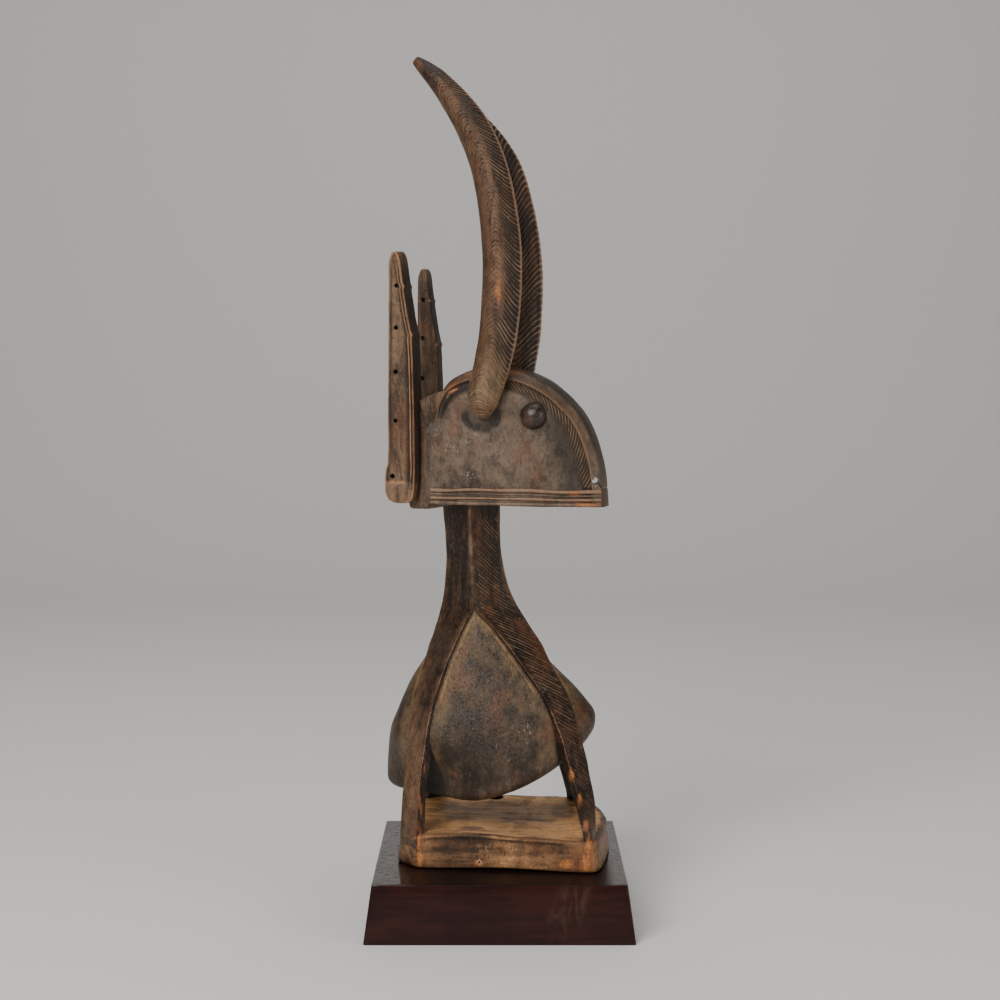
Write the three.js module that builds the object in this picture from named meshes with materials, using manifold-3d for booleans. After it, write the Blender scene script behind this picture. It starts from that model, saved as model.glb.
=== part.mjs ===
// A chiwara headdress: an antelope carved from one block of wood, resting on a low wooden plinth.
// Millimetres, +Z up. The origin is the middle of the plinth's underside. The plinth's front is
// towards -Y, and the antelope looks towards +X, turned a little to the front.
import * as THREE from "three";
import { mergeVertices } from "three/addons/utils/BufferGeometryUtils.js";
import Module from "manifold-3d";

const wasm = await Module();
wasm.setup();

// Plinth
const plinthTopSide = 168;
const plinthFootSide = 178.8;
const plinthHeight = 38.8;

// Place of the carving on the plinth, and its turns about the vertical, in degrees
const seatGap = 0.3;
const seatForward = 3.5;
const seatBack = 12;
const trunkTurn = -6.5;
const headTurn = -20;

// Foot plate
const plateLength = 134;
const plateWidth = 124;
const plateThickness = 22;
const plateRearCut = 15;
const plateFrontCut = 5;
const plateBow = 5;
const farCutBack = 23;
const farCutIn = 36;
const farLegBack = 10;
const plateFlare = 1.5;
const plateEdgeRound = 1.5;
const plateSag = 1.6;
const tieHoleDiameter = 10;
const tieHoleInset = 8;
const tieHoleBehindMiddle = 12;

// Trunk: neck, four legs and the body that hangs between them. Heights are above the plinth.
const neckSide = 28;
const neckSetBack = 23.2;
const chinHeight = 243;
const forkHeight = 171;
const breastForkHeight = 142;
const neckSideSkew = 1.2;
const legThickness = 10;
const legFootThickness = 6.5;
const ridgeFlat = 1;
const ridgeInsidePlate = 2;
const toeInsidePlate = 16;
const bodyFloorHeight = 42.2;
const bodyTuck = 2;
const bodyDepthAtFork = 0.9;
const bodyDepth = 1.7;
const bodyRearCornerClear = 22;
const bodySwellPerClear = 0.36;
const bodyFrontCornerClear = 6;
const bodyEdgeRound = 7;
const bellyLift = 0.019;
const bellyLiftPower = 1.7;
const bellyLiftStart = 26;

// Head
const headLength = 125;
const headHeight = 95;
const headBackShare = 0.195;
const headBackHalf = 25.5;
const snoutHalf = 8;
const crestHalf = 5.5;
const nuchalLength = 14;
const napeDrop = 4;
const napeInset = 4;
const eyeDiameter = 18.3;
const eyeDepthShare = 0.85;
const eyeSunk = 1;
const lipStripHeight = 4.2;
const lipBeadHeight = 2.4;
const lipBeadAbove = 8.2;
const lipRelief = 1.1;
const mouthHoleDiameter = 4.6;
const mouthHoleSkew = 20;
const mouthSlit = 1.3;
const mouthSlitShare = 0.11;
const mouthSlitAngle = 60;

// Ears
const nearEarLength = 172;
const farEarLength = 162;
const farEarShare = 0.87;
const earBottomAboveChin = 0.5;
const earOuterReach = 31;
const earThickness = 12.5;
const earBorder = 3.5;
const earChannelDepth = 1.5;
const earHoleDiameter = 3;
const earHoleShares = [0.11, 0.33, 0.53, 0.7, 0.865];
const earEdgeRound = 1;
const earRake = 1.3;
const earTopSlope = 0.3;

// Horns
const hornRise = 243;
const hornRootAboveChin = 61;
const hornThickness = 27.5;
const hornFlatness = 0.92;
const hornPitch = 4.6;
const hornGroove = 0.8;
const hornSlant = 0.75;
const farHornShare = 0.96;
const farHornCurl = 0.021;
const farHornTaper = 0.45;
const farHornCurlStart = 0.62;

// Steps of the facets
const trunkSteps = 24;
const bodySteps = 10;
const crownSteps = 24;
const earSteps = 11;
const hornSides = 8;

const NEAR = -1;
const FAR = 1;

// A smooth curve through knots [t, value, value, ...], sorted by t: cubic pieces whose slope at a
// knot is that of the line between its two neighbours. Outside the knots it keeps its end values.
function through(knots) {
  const last = knots.length - 1;
  const slope = (i, c) => {
    const before = knots[Math.max(i - 1, 0)];
    const after = knots[Math.min(i + 1, last)];
    return (after[c] - before[c]) / (after[0] - before[0]);
  };
  return (t) => {
    const u = THREE.MathUtils.clamp(t, knots[0][0], knots[last][0]);
    let i = 0;
    while (i < last - 1 && u > knots[i + 1][0]) i += 1;
    const span = knots[i + 1][0] - knots[i][0];
    const s = (u - knots[i][0]) / span;
    return knots[0].slice(1).map((_, k) => {
      const c = k + 1;
      const rise = knots[i + 1][c] - knots[i][c];
      const start = slope(i, c) * span;
      const end = slope(i + 1, c) * span;
      return knots[i][c] + s * (start + s * (3 * rise - 2 * start - end + s * (start + end - 2 * rise)));
    });
  };
}

const mix = THREE.MathUtils.lerp;
const smooth = (x, from, to) => {
  const s = THREE.MathUtils.clamp((x - from) / (to - from), 0, 1);
  return s * s * (3 - 2 * s);
};
const steps = (count, from, to) =>
  Array.from({ length: count + 1 }, (_, i) => mix(from, to, i / count));

// A closed surface over rings of equally many points, its two ends closed round their middles.
function loft(rings) {
  const sides = rings[0].length;
  const positions = rings.flat().flatMap((p) => [p.x, p.y, p.z]);
  const triangles = [];
  for (let r = 0; r + 1 < rings.length; r += 1) {
    for (let i = 0; i < sides; i += 1) {
      const a = r * sides + i;
      const b = r * sides + ((i + 1) % sides);
      triangles.push(a, b, b + sides, a, b + sides, a + sides);
    }
  }
  for (const [ring, first, turn] of [
    [rings[0], 0, 1],
    [rings[rings.length - 1], (rings.length - 1) * sides, 0],
  ]) {
    const middle = ring.reduce((sum, p) => sum.add(p), new THREE.Vector3()).divideScalar(sides);
    const apex = positions.length / 3;
    positions.push(middle.x, middle.y, middle.z);
    for (let i = 0; i < sides; i += 1) {
      const a = first + i;
      const b = first + ((i + 1) % sides);
      triangles.push(...(turn ? [b, a, apex] : [a, b, apex]));
    }
  }
  const geometry = new THREE.BufferGeometry();
  geometry.setAttribute("position", new THREE.Float32BufferAttribute(positions, 3));
  geometry.setIndex(triangles);
  return geometry;
}

// A geometry as a manifold-3d solid. Where its faces point inwards they are turned round.
function solidOf(geometry) {
  const bare = geometry.clone();
  bare.deleteAttribute("normal");
  bare.deleteAttribute("uv");
  const merged = mergeVertices(bare, 1e-4);
  const vertProperties = new Float32Array(merged.attributes.position.array);
  const triVerts = new Uint32Array(merged.index.array);
  const made = new wasm.Manifold(new wasm.Mesh({ numProp: 3, vertProperties, triVerts }));
  if (made.volume() > 0) return made;
  for (let i = 0; i < triVerts.length; i += 3) {
    [triVerts[i + 1], triVerts[i + 2]] = [triVerts[i + 2], triVerts[i + 1]];
  }
  return new wasm.Manifold(new wasm.Mesh({ numProp: 3, vertProperties, triVerts }));
}

const join = (solids) => solids.reduce((sum, solid) => sum.add(solid));

function meshOf(solid, name, material) {
  const mesh = solid.getMesh();
  const geometry = new THREE.BufferGeometry();
  geometry.setAttribute("position", new THREE.BufferAttribute(mesh.vertProperties, 3));
  geometry.setIndex(new THREE.BufferAttribute(mesh.triVerts, 1));
  geometry.computeVertexNormals();
  const made = new THREE.Mesh(geometry, material);
  made.name = name;
  return made;
}

// The eight long ridges of the trunk come in mirrored pairs. Each starts on a corner of the square
// neck and ends at a corner of the foot plate. Knots: share of the chin's height, share of the way
// forward or back, share of the way out sideways.
const neckHalf = neckSide / Math.SQRT2;
const ridges = {
  rearSide: {
    neck: [-neckSetBack + neckSideSkew, neckHalf],
    foot: [-plateLength / 2 + plateRearCut, plateWidth / 2 - ridgeInsidePlate],
    farFoot: [-plateLength / 2 + plateRearCut, plateWidth / 2 - ridgeInsidePlate],
    way: through([
      [0, 1, 1], [0.07, 1.01, 1], [0.17, 0.99, 0.865], [0.25, 0.97, 0.75], [0.32, 0.905, 0.635],
      [0.395, 0.83, 0.527], [0.45, 0.733, 0.428], [0.506, 0.6, 0.33], [0.56, 0.455, 0.25],
      [0.61, 0.287, 0.154], [0.667, 0.067, 0.055], [0.704, -0.1, 0], [0.76, -0.07, 0],
      [0.926, -0.01, 0], [1, 0, 0],
    ]),
  },
  frontSide: {
    neck: [-neckSetBack + neckSideSkew, neckHalf],
    foot: [plateLength / 2 - 1, plateWidth / 2 - ridgeInsidePlate],
    farFoot: [plateLength / 2 - farCutBack, plateWidth / 2 - ridgeInsidePlate],
    way: through([
      [0, 1, 1], [0.1, 0.995, 0.985], [0.144, 0.95, 0.93], [0.2, 0.89, 0.85], [0.267, 0.815, 0.726],
      [0.36, 0.736, 0.588], [0.416, 0.67, 0.502], [0.47, 0.59, 0.403], [0.53, 0.467, 0.303],
      [0.593, 0.33, 0.204], [0.654, 0.18, 0.08], [0.704, 0.036, 0], [0.76, 0.025, 0],
      [0.926, 0.003, 0], [1, 0, 0],
    ]),
  },
  front: {
    neck: [-neckSetBack + neckHalf, 0],
    foot: [plateLength / 2 + 0.5, plateWidth / 2 - toeInsidePlate],
    farFoot: [plateLength / 2 - farLegBack, plateWidth / 2 - farCutIn / 2],
    way: through([
      [0, 1, 1], [0.15, 0.995, 1], [0.195, 0.98, 0.935], [0.24, 0.944, 0.86], [0.3, 0.892, 0.745],
      [0.39, 0.79, 0.565], [0.457, 0.7, 0.42], [0.52, 0.57, 0.27], [0.568, 0.475, 0.12],
      [0.6, 0.405, 0], [0.66, 0.27, 0], [0.712, 0.158, 0], [0.77, 0.076, 0], [0.835, 0.028, 0],
      [0.9, 0.003, 0], [1, 0, 0],
    ]),
  },
  rear: {
    neck: [-neckSetBack - neckHalf, 0],
    foot: [-plateLength / 2 + 1, plateWidth / 2 - plateRearCut],
    farFoot: [-plateLength / 2 + 1, plateWidth / 2 - plateRearCut],
    way: through([
      [0, 1, 1], [0.07, 1, 1], [0.2, 0.945, 0.91], [0.333, 0.84, 0.652], [0.42, 0.75, 0.47],
      [0.49, 0.635, 0.326], [0.55, 0.52, 0.163], [0.59, 0.413, 0], [0.66, 0.174, 0],
      [0.724, 0.017, 0], [0.782, -0.06, 0], [0.844, -0.091, 0], [0.9, -0.065, 0], [1, 0.01, 0],
    ]),
  },
};

// The point of a ridge at a height above the plinth, on the near or far side.
function ridgeAt(name, height, side) {
  const { neck, way } = ridges[name];
  const foot = side === NEAR ? ridges[name].foot : ridges[name].farFoot;
  const [reach, spread] = way(height / chinHeight);
  const flat = { rearSide: [-1, 0], frontSide: [1, 0], front: [0, 1], rear: [0, 1] }[name];
  return new THREE.Vector2(
    mix(neck[0], foot[0], reach) + (flat[0] * ridgeFlat) / 2,
    side * (mix(neck[1], foot[1], spread) + (flat[1] * ridgeFlat) / 2),
  );
}

// The directions of a leg's outer face in plan: along it from its side ridge to its end ridge, and
// outwards, away from the neck's axis.
function legFace(sideRidge, endRidge) {
  const along = endRidge.clone().sub(sideRidge).normalize();
  const outward = new THREE.Vector2(along.y, -along.x);
  const fromAxis = sideRidge.clone().sub(new THREE.Vector2(-neckSetBack, 0));
  if (outward.dot(fromAxis) < 0) outward.negate();
  return { along, outward };
}

const at = (plan, height) => new THREE.Vector3(plan.x, plan.y, height);
const moved = (plan, direction, distance) => plan.clone().addScaledVector(direction, distance);
const LEGS = [
  ["rearSide", "rear"],
  ["frontSide", "front"],
];

// The trunk's outer form: an eight-cornered section between the ridges, from inside the foot plate
// up into the head.
function trunkEnvelope() {
  const floor = plateThickness * 0.4;
  const roof = chinHeight + headHeight * 0.08;
  return loft(
    steps(trunkSteps, floor, roof).map((height) =>
      [
        ["rearSide", NEAR], ["frontSide", NEAR], ["front", NEAR], ["front", FAR],
        ["frontSide", FAR], ["rearSide", FAR], ["rear", FAR], ["rear", NEAR],
      ].map(([name, side]) => at(ridgeAt(name, height, side), height)),
    ),
  );
}

// The slab that a leg is left standing in: its outer face stands clear of the trunk's outer form,
// its edges run just inside the two ridges, and its inner face lies one leg thickness in, which
// thins towards the foot. Above the breast's fork two neighbouring slabs overlap, so the ridge
// between them stays whole.
function legSlab([sideName, endName], side) {
  const edgeInside = 0.4;
  const edgeOverlap = -1.5;
  const proud = 6;
  const top = forkHeight + legThickness;
  const floor = plateThickness * 0.3;
  return loft(
    steps(trunkSteps, floor, top).map((height) => {
      const a = ridgeAt(sideName, height, side);
      const b = ridgeAt(endName, height, side);
      const { along, outward } = legFace(a, b);
      const endInside = height > breastForkHeight ? edgeOverlap : edgeInside;
      const thickness = mix(legFootThickness, legThickness, smooth(height, 60, 160));
      const start = moved(a, along, edgeInside);
      const end = moved(b, along, -endInside);
      return [
        moved(start, outward, proud),
        moved(end, outward, proud),
        moved(end, outward, -thickness),
        moved(start, outward, -thickness),
      ].map((plan) => at(plan, height));
    }),
  );
}

// Neck and legs: the outer form, less everything below the fork that no leg slab keeps.
function neckAndLegs() {
  const floor = plateThickness * 0.5;
  const around = new THREE.BoxGeometry(3 * plateLength, 3 * plateWidth, forkHeight - floor);
  around.translate(0, 0, (forkHeight + floor) / 2);
  const slabs = LEGS.flatMap((leg) => [NEAR, FAR].map((side) => solidOf(legSlab(leg, side))));
  const windows = solidOf(around).subtract(join(slabs));
  return solidOf(trunkEnvelope()).subtract(windows);
}

// How far the body reaches forward and back of the foot plate's middle, as shares of half the
// plate's length, and how far its side panels swell out past the legs' ridges, in millimetres.
// Knots: share of the chin's height, front, rear, swelling.
const bodyReach = through([
  [0.15, 0.74, 1.215, 8], [0.2, 0.76, 1.24, 8], [0.28, 0.83, 1.23, 8], [0.35, 0.93, 1.195, 7.5],
  [0.4, 0.945, 1.12, 7], [0.435, 0.86, 1.07, 6.5], [0.48, 0.72, 1.0, 6], [0.53, 0.53, 0.89, 5],
  [0.57, 0.39, 0.79, 4.5], [0.62, 0.28, 0.7, 4], [0.7, 0.1, 0.6, 2.5], [0.75, 0.04, 0.55, 2],
]);

// The body's underside rises towards the breast, and this lift fades out up the body.
const liftAt = (forward) => bellyLift * Math.max(forward + bellyLiftStart, 0) ** bellyLiftPower;
const liftShare = (height) => 1 - smooth(height, bodyFloorHeight, forkHeight * 0.86);

// One ring of the body: under each leg it lies inside the wood of the leg, between the legs it
// swells out as a panel. Lower down its corners draw back from the legs, most of all the rear ones,
// and the panels swell more, so that their middles stay where they were.
function bodyRing(height, scale) {
  const panelPoints = 6;
  const belowFork = smooth(forkHeight - height, 0, 60);
  const depth = mix(bodyDepthAtFork, bodyDepth, belowFork);
  const drawnBack = smooth(0.36 * chinHeight - height, 0, 0.17 * chinHeight);
  const swell = bodyReach(height / chinHeight)[2] + bodySwellPerClear * bodyRearCornerClear * drawnBack;
  const lifted = (plan) => height + liftShare(height) * liftAt(plan.x);
  const reachOf = (part, forwards) => {
    let reach = 0;
    for (let pass = 0; pass < 6; pass += 1) {
      const level = lifted(new THREE.Vector2(reach, 0));
      reach = (forwards * bodyReach(level / chinHeight)[part] * plateLength) / 2;
    }
    return reach;
  };
  const [back, fore] = LEGS;
  const corner = (leg, side, end) => {
    const cornerClear = leg === back ? bodyRearCornerClear : bodyFrontCornerClear;
    const clear = depth + cornerClear * drawnBack;
    let plan = new THREE.Vector2();
    let level = height;
    for (let pass = 0; pass < 3; pass += 1) {
      const a = ridgeAt(leg[0], level, side);
      const b = ridgeAt(leg[1], level, side);
      const { along, outward } = legFace(a, b);
      plan = moved(moved(end ? b : a, along, end ? -bodyTuck : bodyTuck), outward, -clear);
      level = lifted(plan);
    }
    return plan;
  };
  const ends = [
    [corner(back, NEAR, false), corner(fore, NEAR, false), new THREE.Vector2(0, -swell)],
    [corner(fore, NEAR, true), corner(fore, FAR, true), null, reachOf(0, 1)],
    [corner(fore, FAR, false), corner(back, FAR, false), new THREE.Vector2(0, swell)],
    [corner(back, FAR, true), corner(back, NEAR, true), null, reachOf(1, -1)],
  ];
  const middle = new THREE.Vector2(-0.13 * plateLength, 0);
  return ends.flatMap(([from, to, swelling, reach]) => {
    const push = swelling ?? new THREE.Vector2(reach - (from.x + to.x) / 2, 0);
    return steps(panelPoints, 0, 1).map((s) => {
      const plan = from.clone().lerp(to, s).addScaledVector(push, 4 * s * (1 - s));
      const drawn = middle.clone().lerp(plan, scale);
      return at(drawn, lifted(drawn));
    });
  });
}

// The body: rings from inside the neck down to the rounded lower edge, then in over the underside.
function body() {
  const top = forkHeight + 0.4 * legThickness;
  const edge = bodyFloorHeight + bodyEdgeRound;
  const wall = steps(bodySteps, top, edge).map((height) => bodyRing(height, 1));
  const rounding = [30, 60, 90].map((degrees) => {
    const angle = THREE.MathUtils.degToRad(degrees);
    const drawnIn = (bodyEdgeRound * (1 - Math.cos(angle))) / (plateWidth / 2);
    return bodyRing(edge - bodyEdgeRound * Math.sin(angle), 1 - drawnIn);
  });
  const underside = [0.5, 0.2].map((scale) => bodyRing(bodyFloorHeight, scale));
  return loft([...wall, ...rounding, ...underside]);
}

// The foot plate's outline, drawn in by a distance: a rectangle with its four corners cut.
function plateOutline(inset) {
  const x = plateLength / 2 - inset;
  const y = plateWidth / 2 - inset;
  return [
    [-x + plateRearCut, -y], [x, -y], [x + 0.6 * plateBow, -y + 2 * plateFrontCut],
    [x + plateBow, -0.35 * y], [x + 0.9 * plateBow, 0.1 * y], [x, y - farCutIn],
    [x - 0.35 * farCutBack, y - 0.45 * farCutIn], [x - farCutBack, y - 1],
    [x - farCutBack - 2, y], [-x + plateRearCut, y], [-x, y - plateRearCut],
    [-x, -y + plateRearCut],
  ];
}

function footPlate() {
  const levels = [
    [plateEdgeRound - plateFlare, seatGap],
    [-plateFlare, seatGap + plateEdgeRound],
    [0, plateThickness - plateEdgeRound],
    [plateEdgeRound, plateThickness],
    [plateWidth / 4, plateThickness - plateSag],
  ];
  const slab = solidOf(
    loft(levels.map(([inset, z]) => plateOutline(inset).map(([x, y]) => new THREE.Vector3(x, y, z)))),
  );
  const bore = new THREE.CylinderGeometry(tieHoleDiameter / 2, tieHoleDiameter / 2, 3 * plateThickness, 12);
  bore.rotateX(Math.PI / 2);
  bore.translate(-tieHoleBehindMiddle, plateWidth / 2 - tieHoleInset, 0);
  return { slab, bore: solidOf(bore) };
}

// The head stands on the neck. In its own frame x runs from the neck's axis to the snout, and the
// outline below is in shares of the head's length and height, from its back edge at the chin line
// over the crown to the lip. Knots: share of the way, forward, up.
const headBack = -headBackShare * headLength;
const crown = through([
  [0, 0, 0], [0.09, 0.001, 0.23], [0.19, 0.008, 0.49], [0.25, 0.02, 0.64], [0.31, 0.045, 0.79],
  [0.37, 0.1, 0.895], [0.43, 0.19, 0.955], [0.49, 0.3, 0.99], [0.54, 0.4, 0.99],
  [0.6, 0.51, 0.965], [0.66, 0.62, 0.91], [0.71, 0.7, 0.847], [0.76, 0.775, 0.762],
  [0.81, 0.84, 0.67], [0.86, 0.89, 0.555], [0.91, 0.93, 0.415], [0.955, 0.958, 0.27],
  [0.985, 0.972, 0.12], [1, 0.978, 0],
]);
const headPoint = (forward, up) => [headBack + forward * headLength, chinHeight + up * headHeight];

// Half the head's thickness: a long wedge that thins from the back of the head to the snout.
const headHalf = through([
  [headBack, headBackHalf],
  [headBack + 0.31 * headLength, mix(snoutHalf, headBackHalf, 0.91)],
  [headBack + 0.62 * headLength, mix(snoutHalf, headBackHalf, 0.66)],
  [headBack + 0.87 * headLength, mix(snoutHalf, headBackHalf, 0.26)],
  [headBack + headLength, snoutHalf],
]);

// Half the thickness from the crest inwards: the crest's edge, a raised rim, the hollow inside it
// and then the flat side. Knots: share of the way in from the outline, share of the thickness
// beyond the crest.
const rimProfile = through([
  [0, 0], [0.02, 0.34], [0.065, 0.88], [0.095, 0.79], [0.18, 1], [1, 1],
]);

function headBlock() {
  const focus = headPoint(0.43, 0.2);
  const outline = [
    ...steps(crownSteps, 0, 1).map((share) => ({
      spot: headPoint(...crown(share)),
      bevel: smooth(share, 0.2, 0.33),
    })),
    ...steps(6, 0.945, 0.03).map((forward) => ({ spot: headPoint(forward, 0), bevel: 0 })),
  ];
  const insets = [0, 0.02, 0.065, 0.095, 0.18, 0.5, 0.9];
  const ring = (inset, side) =>
    outline.map(({ spot, bevel }) => {
      const x = mix(spot[0], focus[0], inset);
      const z = mix(spot[1], focus[1], inset);
      const half = headHalf(x)[0];
      const rim = mix(crestHalf, half, rimProfile(inset)[0]);
      return new THREE.Vector3(x, side * mix(half, Math.min(rim, half), bevel), z);
    });
  return loft([
    ...insets.toReversed().map((inset) => ring(inset, NEAR)),
    ...insets.map((inset) => ring(inset, FAR)),
  ]);
}

// A flat outline in the head's side view, carried across the head to a half width at each point.
function plank(points, halfAt) {
  const ring = (side) => points.map(([x, z]) => new THREE.Vector3(x, side * halfAt(x), z));
  return loft([ring(NEAR), ring(FAR)]);
}

// The back of the head, a little narrower than its sides, where the ears are rooted.
function nape() {
  const half = headBackHalf - napeInset;
  return plank(
    [
      [headBack - nuchalLength, chinHeight - napeDrop],
      [headBack + 1, chinHeight - napeDrop],
      [headBack + 0.2 * headLength, chinHeight + 1],
      [headBack + 0.2 * headLength, chinHeight + 0.85 * headHeight],
      [headBack + 0.03 * headLength, chinHeight + 0.8 * headHeight],
      [headBack - nuchalLength, chinHeight + 0.68 * headHeight],
    ],
    () => half,
  );
}

// A strip that runs along both sides of the jaw, from the back of the cheek to the snout.
function jawStrip(above, height) {
  const from = headBack + 0.04 * headLength;
  const to = headBack + 0.955 * headLength;
  const middle = (from + to) / 2;
  const low = chinHeight + above;
  return plank(
    [[from, low], [middle, low], [to, low], [to, low + height], [middle, low + height], [from, low + height]],
    (x) => headHalf(x)[0] + lipRelief,
  );
}

// The eyes: two low domes that stand out of the sides of the head.
function eyes() {
  const [x, z] = headPoint(0.61, 0.645);
  return [NEAR, FAR].map((side) => {
    const dome = new THREE.SphereGeometry(eyeDiameter / 2, 12, 8);
    dome.scale(1, eyeDepthShare, 1);
    dome.translate(x, side * (headHalf(x)[0] - eyeSunk), z);
    return solidOf(dome);
  });
}

// The mouth: a small hole through the snout and a thin slit from it down to the front. The hole
// comes out further back on the far side, so that from the front the light shows through it.
function mouth() {
  const across = 6 * snoutHalf;
  const [x, z] = headPoint(0.945, 0.18);
  const slitLength = mouthSlitShare * headLength;
  const hole = new THREE.CylinderGeometry(mouthHoleDiameter / 2, mouthHoleDiameter / 2, across, 10);
  const skew = THREE.MathUtils.degToRad(mouthHoleSkew);
  hole.rotateZ(skew);
  hole.translate(x - (headHalf(x)[0] + lipRelief) * Math.tan(skew), 0, z);
  const slit = new THREE.BoxGeometry(slitLength, across, mouthSlit);
  slit.translate(slitLength / 2, 0, 0);
  slit.rotateY(THREE.MathUtils.degToRad(mouthSlitAngle));
  slit.translate(x, 0, z);
  return join([solidOf(hole), solidOf(slit)]);
}

// An ear's edges in side view, behind the neck's axis. Knots: share of the ear's length from the
// bottom, rear edge and front ridge as shares of the ear's length.
const earEdges = through([
  [0, -0.266, -0.222], [0.012, -0.29, -0.192], [0.045, -0.305, -0.181], [0.13, -0.303, -0.175],
  [0.16, -0.293, -0.175], [0.41, -0.29, -0.178], [0.66, -0.287, -0.187], [0.75, -0.286, -0.204],
  [0.88, -0.284, -0.225], [0.96, -0.283, -0.236], [0.985, -0.279, -0.243], [1, -0.271, -0.254],
]);

// An ear: a tall board that tapers upwards. Its outer face is a shallow channel between borders.
function ear(side, length, widthShare) {
  const floor = chinHeight + earBottomAboveChin;
  const heights = [0, 0.012, 0.045, 0.07, 0.085, ...steps(earSteps - 6, 0.15, 0.97), 1];
  const outer = earOuterReach;
  const inner = earOuterReach - earThickness;
  const rings = heights.map((share) => {
    const [rearShare, ridgeShare] = earEdges(share);
    const rear = rearShare * nearEarLength;
    const ridge = mix(rear, ridgeShare * nearEarLength, widthShare);
    const carved = smooth(share, 0.07, 0.085) * (1 - smooth(share, 0.93, 1));
    const floorOfChannel = outer - earChannelDepth * carved;
    const slope = earTopSlope * smooth(share, 0.9, 1);
    return [
      [rear, outer - earEdgeRound], [rear + earEdgeRound, outer],
      [rear + 1.6 * earEdgeRound, floorOfChannel], [ridge - earBorder, floorOfChannel],
      [ridge - 0.8 * earBorder, outer], [ridge, outer], [ridge + earRake, inner],
      [rear + earEdgeRound, inner],
    ].map(([x, y]) => new THREE.Vector3(x, side * y, floor + share * length + slope * (x - ridge)));
  });
  const bore = (share) => {
    const drill = new THREE.CylinderGeometry(earHoleDiameter / 2, earHoleDiameter / 2, 3 * earThickness, 6);
    const rear = earEdges(share)[0] * nearEarLength;
    drill.translate(rear + 1.8 * earHoleDiameter, side * (outer - earThickness / 2), floor + share * length);
    return solidOf(drill);
  };
  return solidOf(loft(rings)).subtract(join(earHoleShares.map(bore)));
}

// A horn's centre line, as shares of its rise. Knots: share of the way along, forward, up, out to
// the side, and its thickness as a share of the full thickness.
const hornLine = through([
  [0, 0.075, 0.0, 0.1, 0.34], [0.025, 0.077, 0.03, 0.111, 0.7], [0.055, 0.081, 0.062, 0.115, 0.82],
  [0.12, 0.099, 0.128, 0.11, 0.9], [0.2, 0.115, 0.215, 0.101, 0.95], [0.31, 0.125, 0.35, 0.09, 0.98],
  [0.41, 0.122, 0.457, 0.083, 0.98], [0.52, 0.107, 0.572, 0.075, 0.95], [0.64, 0.075, 0.695, 0.064, 0.9],
  [0.74, 0.031, 0.79, 0.052, 0.84], [0.83, -0.024, 0.868, 0.041, 0.72], [0.91, -0.084, 0.937, 0.031, 0.54],
  [0.96, -0.127, 0.975, 0.025, 0.4], [1, -0.158, 1, 0.021, 0.24],
]);

// A horn: rings along its centre line, alternately full and cut in, so that grooves circle it. Each
// ring leans, high on the horn's outer side and low on its inner side. The far horn is a little
// shorter and curls more, so that from the front it stands behind the near one.
function horn(side) {
  const root = chinHeight + hornRootAboveChin;
  const reach = side === FAR ? farHornShare : 1;
  const curled = (share) => (side === FAR ? smooth(share, farHornCurlStart, 1) : 0);
  const centre = (share) => {
    const [forward, up, out] = hornLine(share * reach);
    const curl = farHornCurl * curled(share);
    return new THREE.Vector3(forward - curl, side * out, up - 0.4 * curl).multiplyScalar(hornRise);
  };
  const length = steps(60, 0, 1).reduce(
    (sum, share, i, all) => sum + (i ? centre(share).distanceTo(centre(all[i - 1])) : 0), 0,
  );
  const count = 2 * Math.round(length / hornPitch);
  const rings = steps(count, 0, 1).map((share, i) => {
    const middle = centre(share);
    const tangent = centre(Math.min(share + 0.01, 1)).sub(centre(Math.max(share - 0.01, 0))).normalize();
    const outward = new THREE.Vector3(0, side, 0);
    outward.addScaledVector(tangent, -outward.dot(tangent)).normalize();
    const forward = outward.clone().cross(tangent).normalize();
    const carved = smooth(share, 0.02, 0.06) * (1 - smooth(share, 0.9, 0.96));
    const cut = i % 2 ? hornGroove * carved : 0;
    const full = hornLine(share * reach)[3] * hornThickness * (1 - farHornTaper * curled(share));
    const radius = full / 2 - cut;
    const lean = hornSlant * radius * smooth(share, 0, 0.1) * (1 - smooth(share, 0.9, 1));
    return Array.from({ length: hornSides }, (_, k) => {
      const angle = ((k + 0.5) * 2 * Math.PI) / hornSides;
      return middle.clone()
        .addScaledVector(forward, radius * Math.sin(angle))
        .addScaledVector(outward, radius * hornFlatness * Math.cos(angle))
        .addScaledVector(tangent, lean * Math.cos(angle));
    });
  });
  return loft(rings.map((ring) => ring.map((p) => p.add(new THREE.Vector3(0, 0, root)))));
}

// Turns a solid's geometry from the head's frame into the trunk's: about the neck's axis.
function turnedOnNeck(solid) {
  const mesh = solid.getMesh();
  const geometry = new THREE.BufferGeometry();
  geometry.setAttribute("position", new THREE.BufferAttribute(mesh.vertProperties, 3));
  geometry.setIndex(new THREE.BufferAttribute(mesh.triVerts, 1));
  geometry.rotateZ(THREE.MathUtils.degToRad(headTurn - trunkTurn));
  geometry.translate(-neckSetBack, 0, 0);
  return solidOf(geometry);
}

function carving() {
  const head = join([
    solidOf(headBlock()),
    solidOf(nape()),
    solidOf(jawStrip(0, lipStripHeight)),
    solidOf(jawStrip(lipBeadAbove, lipBeadHeight)),
    ...eyes(),
  ]).subtract(mouth());
  const crowned = join([
    head,
    ear(NEAR, nearEarLength, 1),
    ear(FAR, farEarLength, farEarShare),
    solidOf(horn(NEAR)),
    solidOf(horn(FAR)),
  ]);
  const { slab, bore } = footPlate();
  return join([neckAndLegs(), solidOf(body()), slab, turnedOnNeck(crowned)]).subtract(bore);
}

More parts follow.
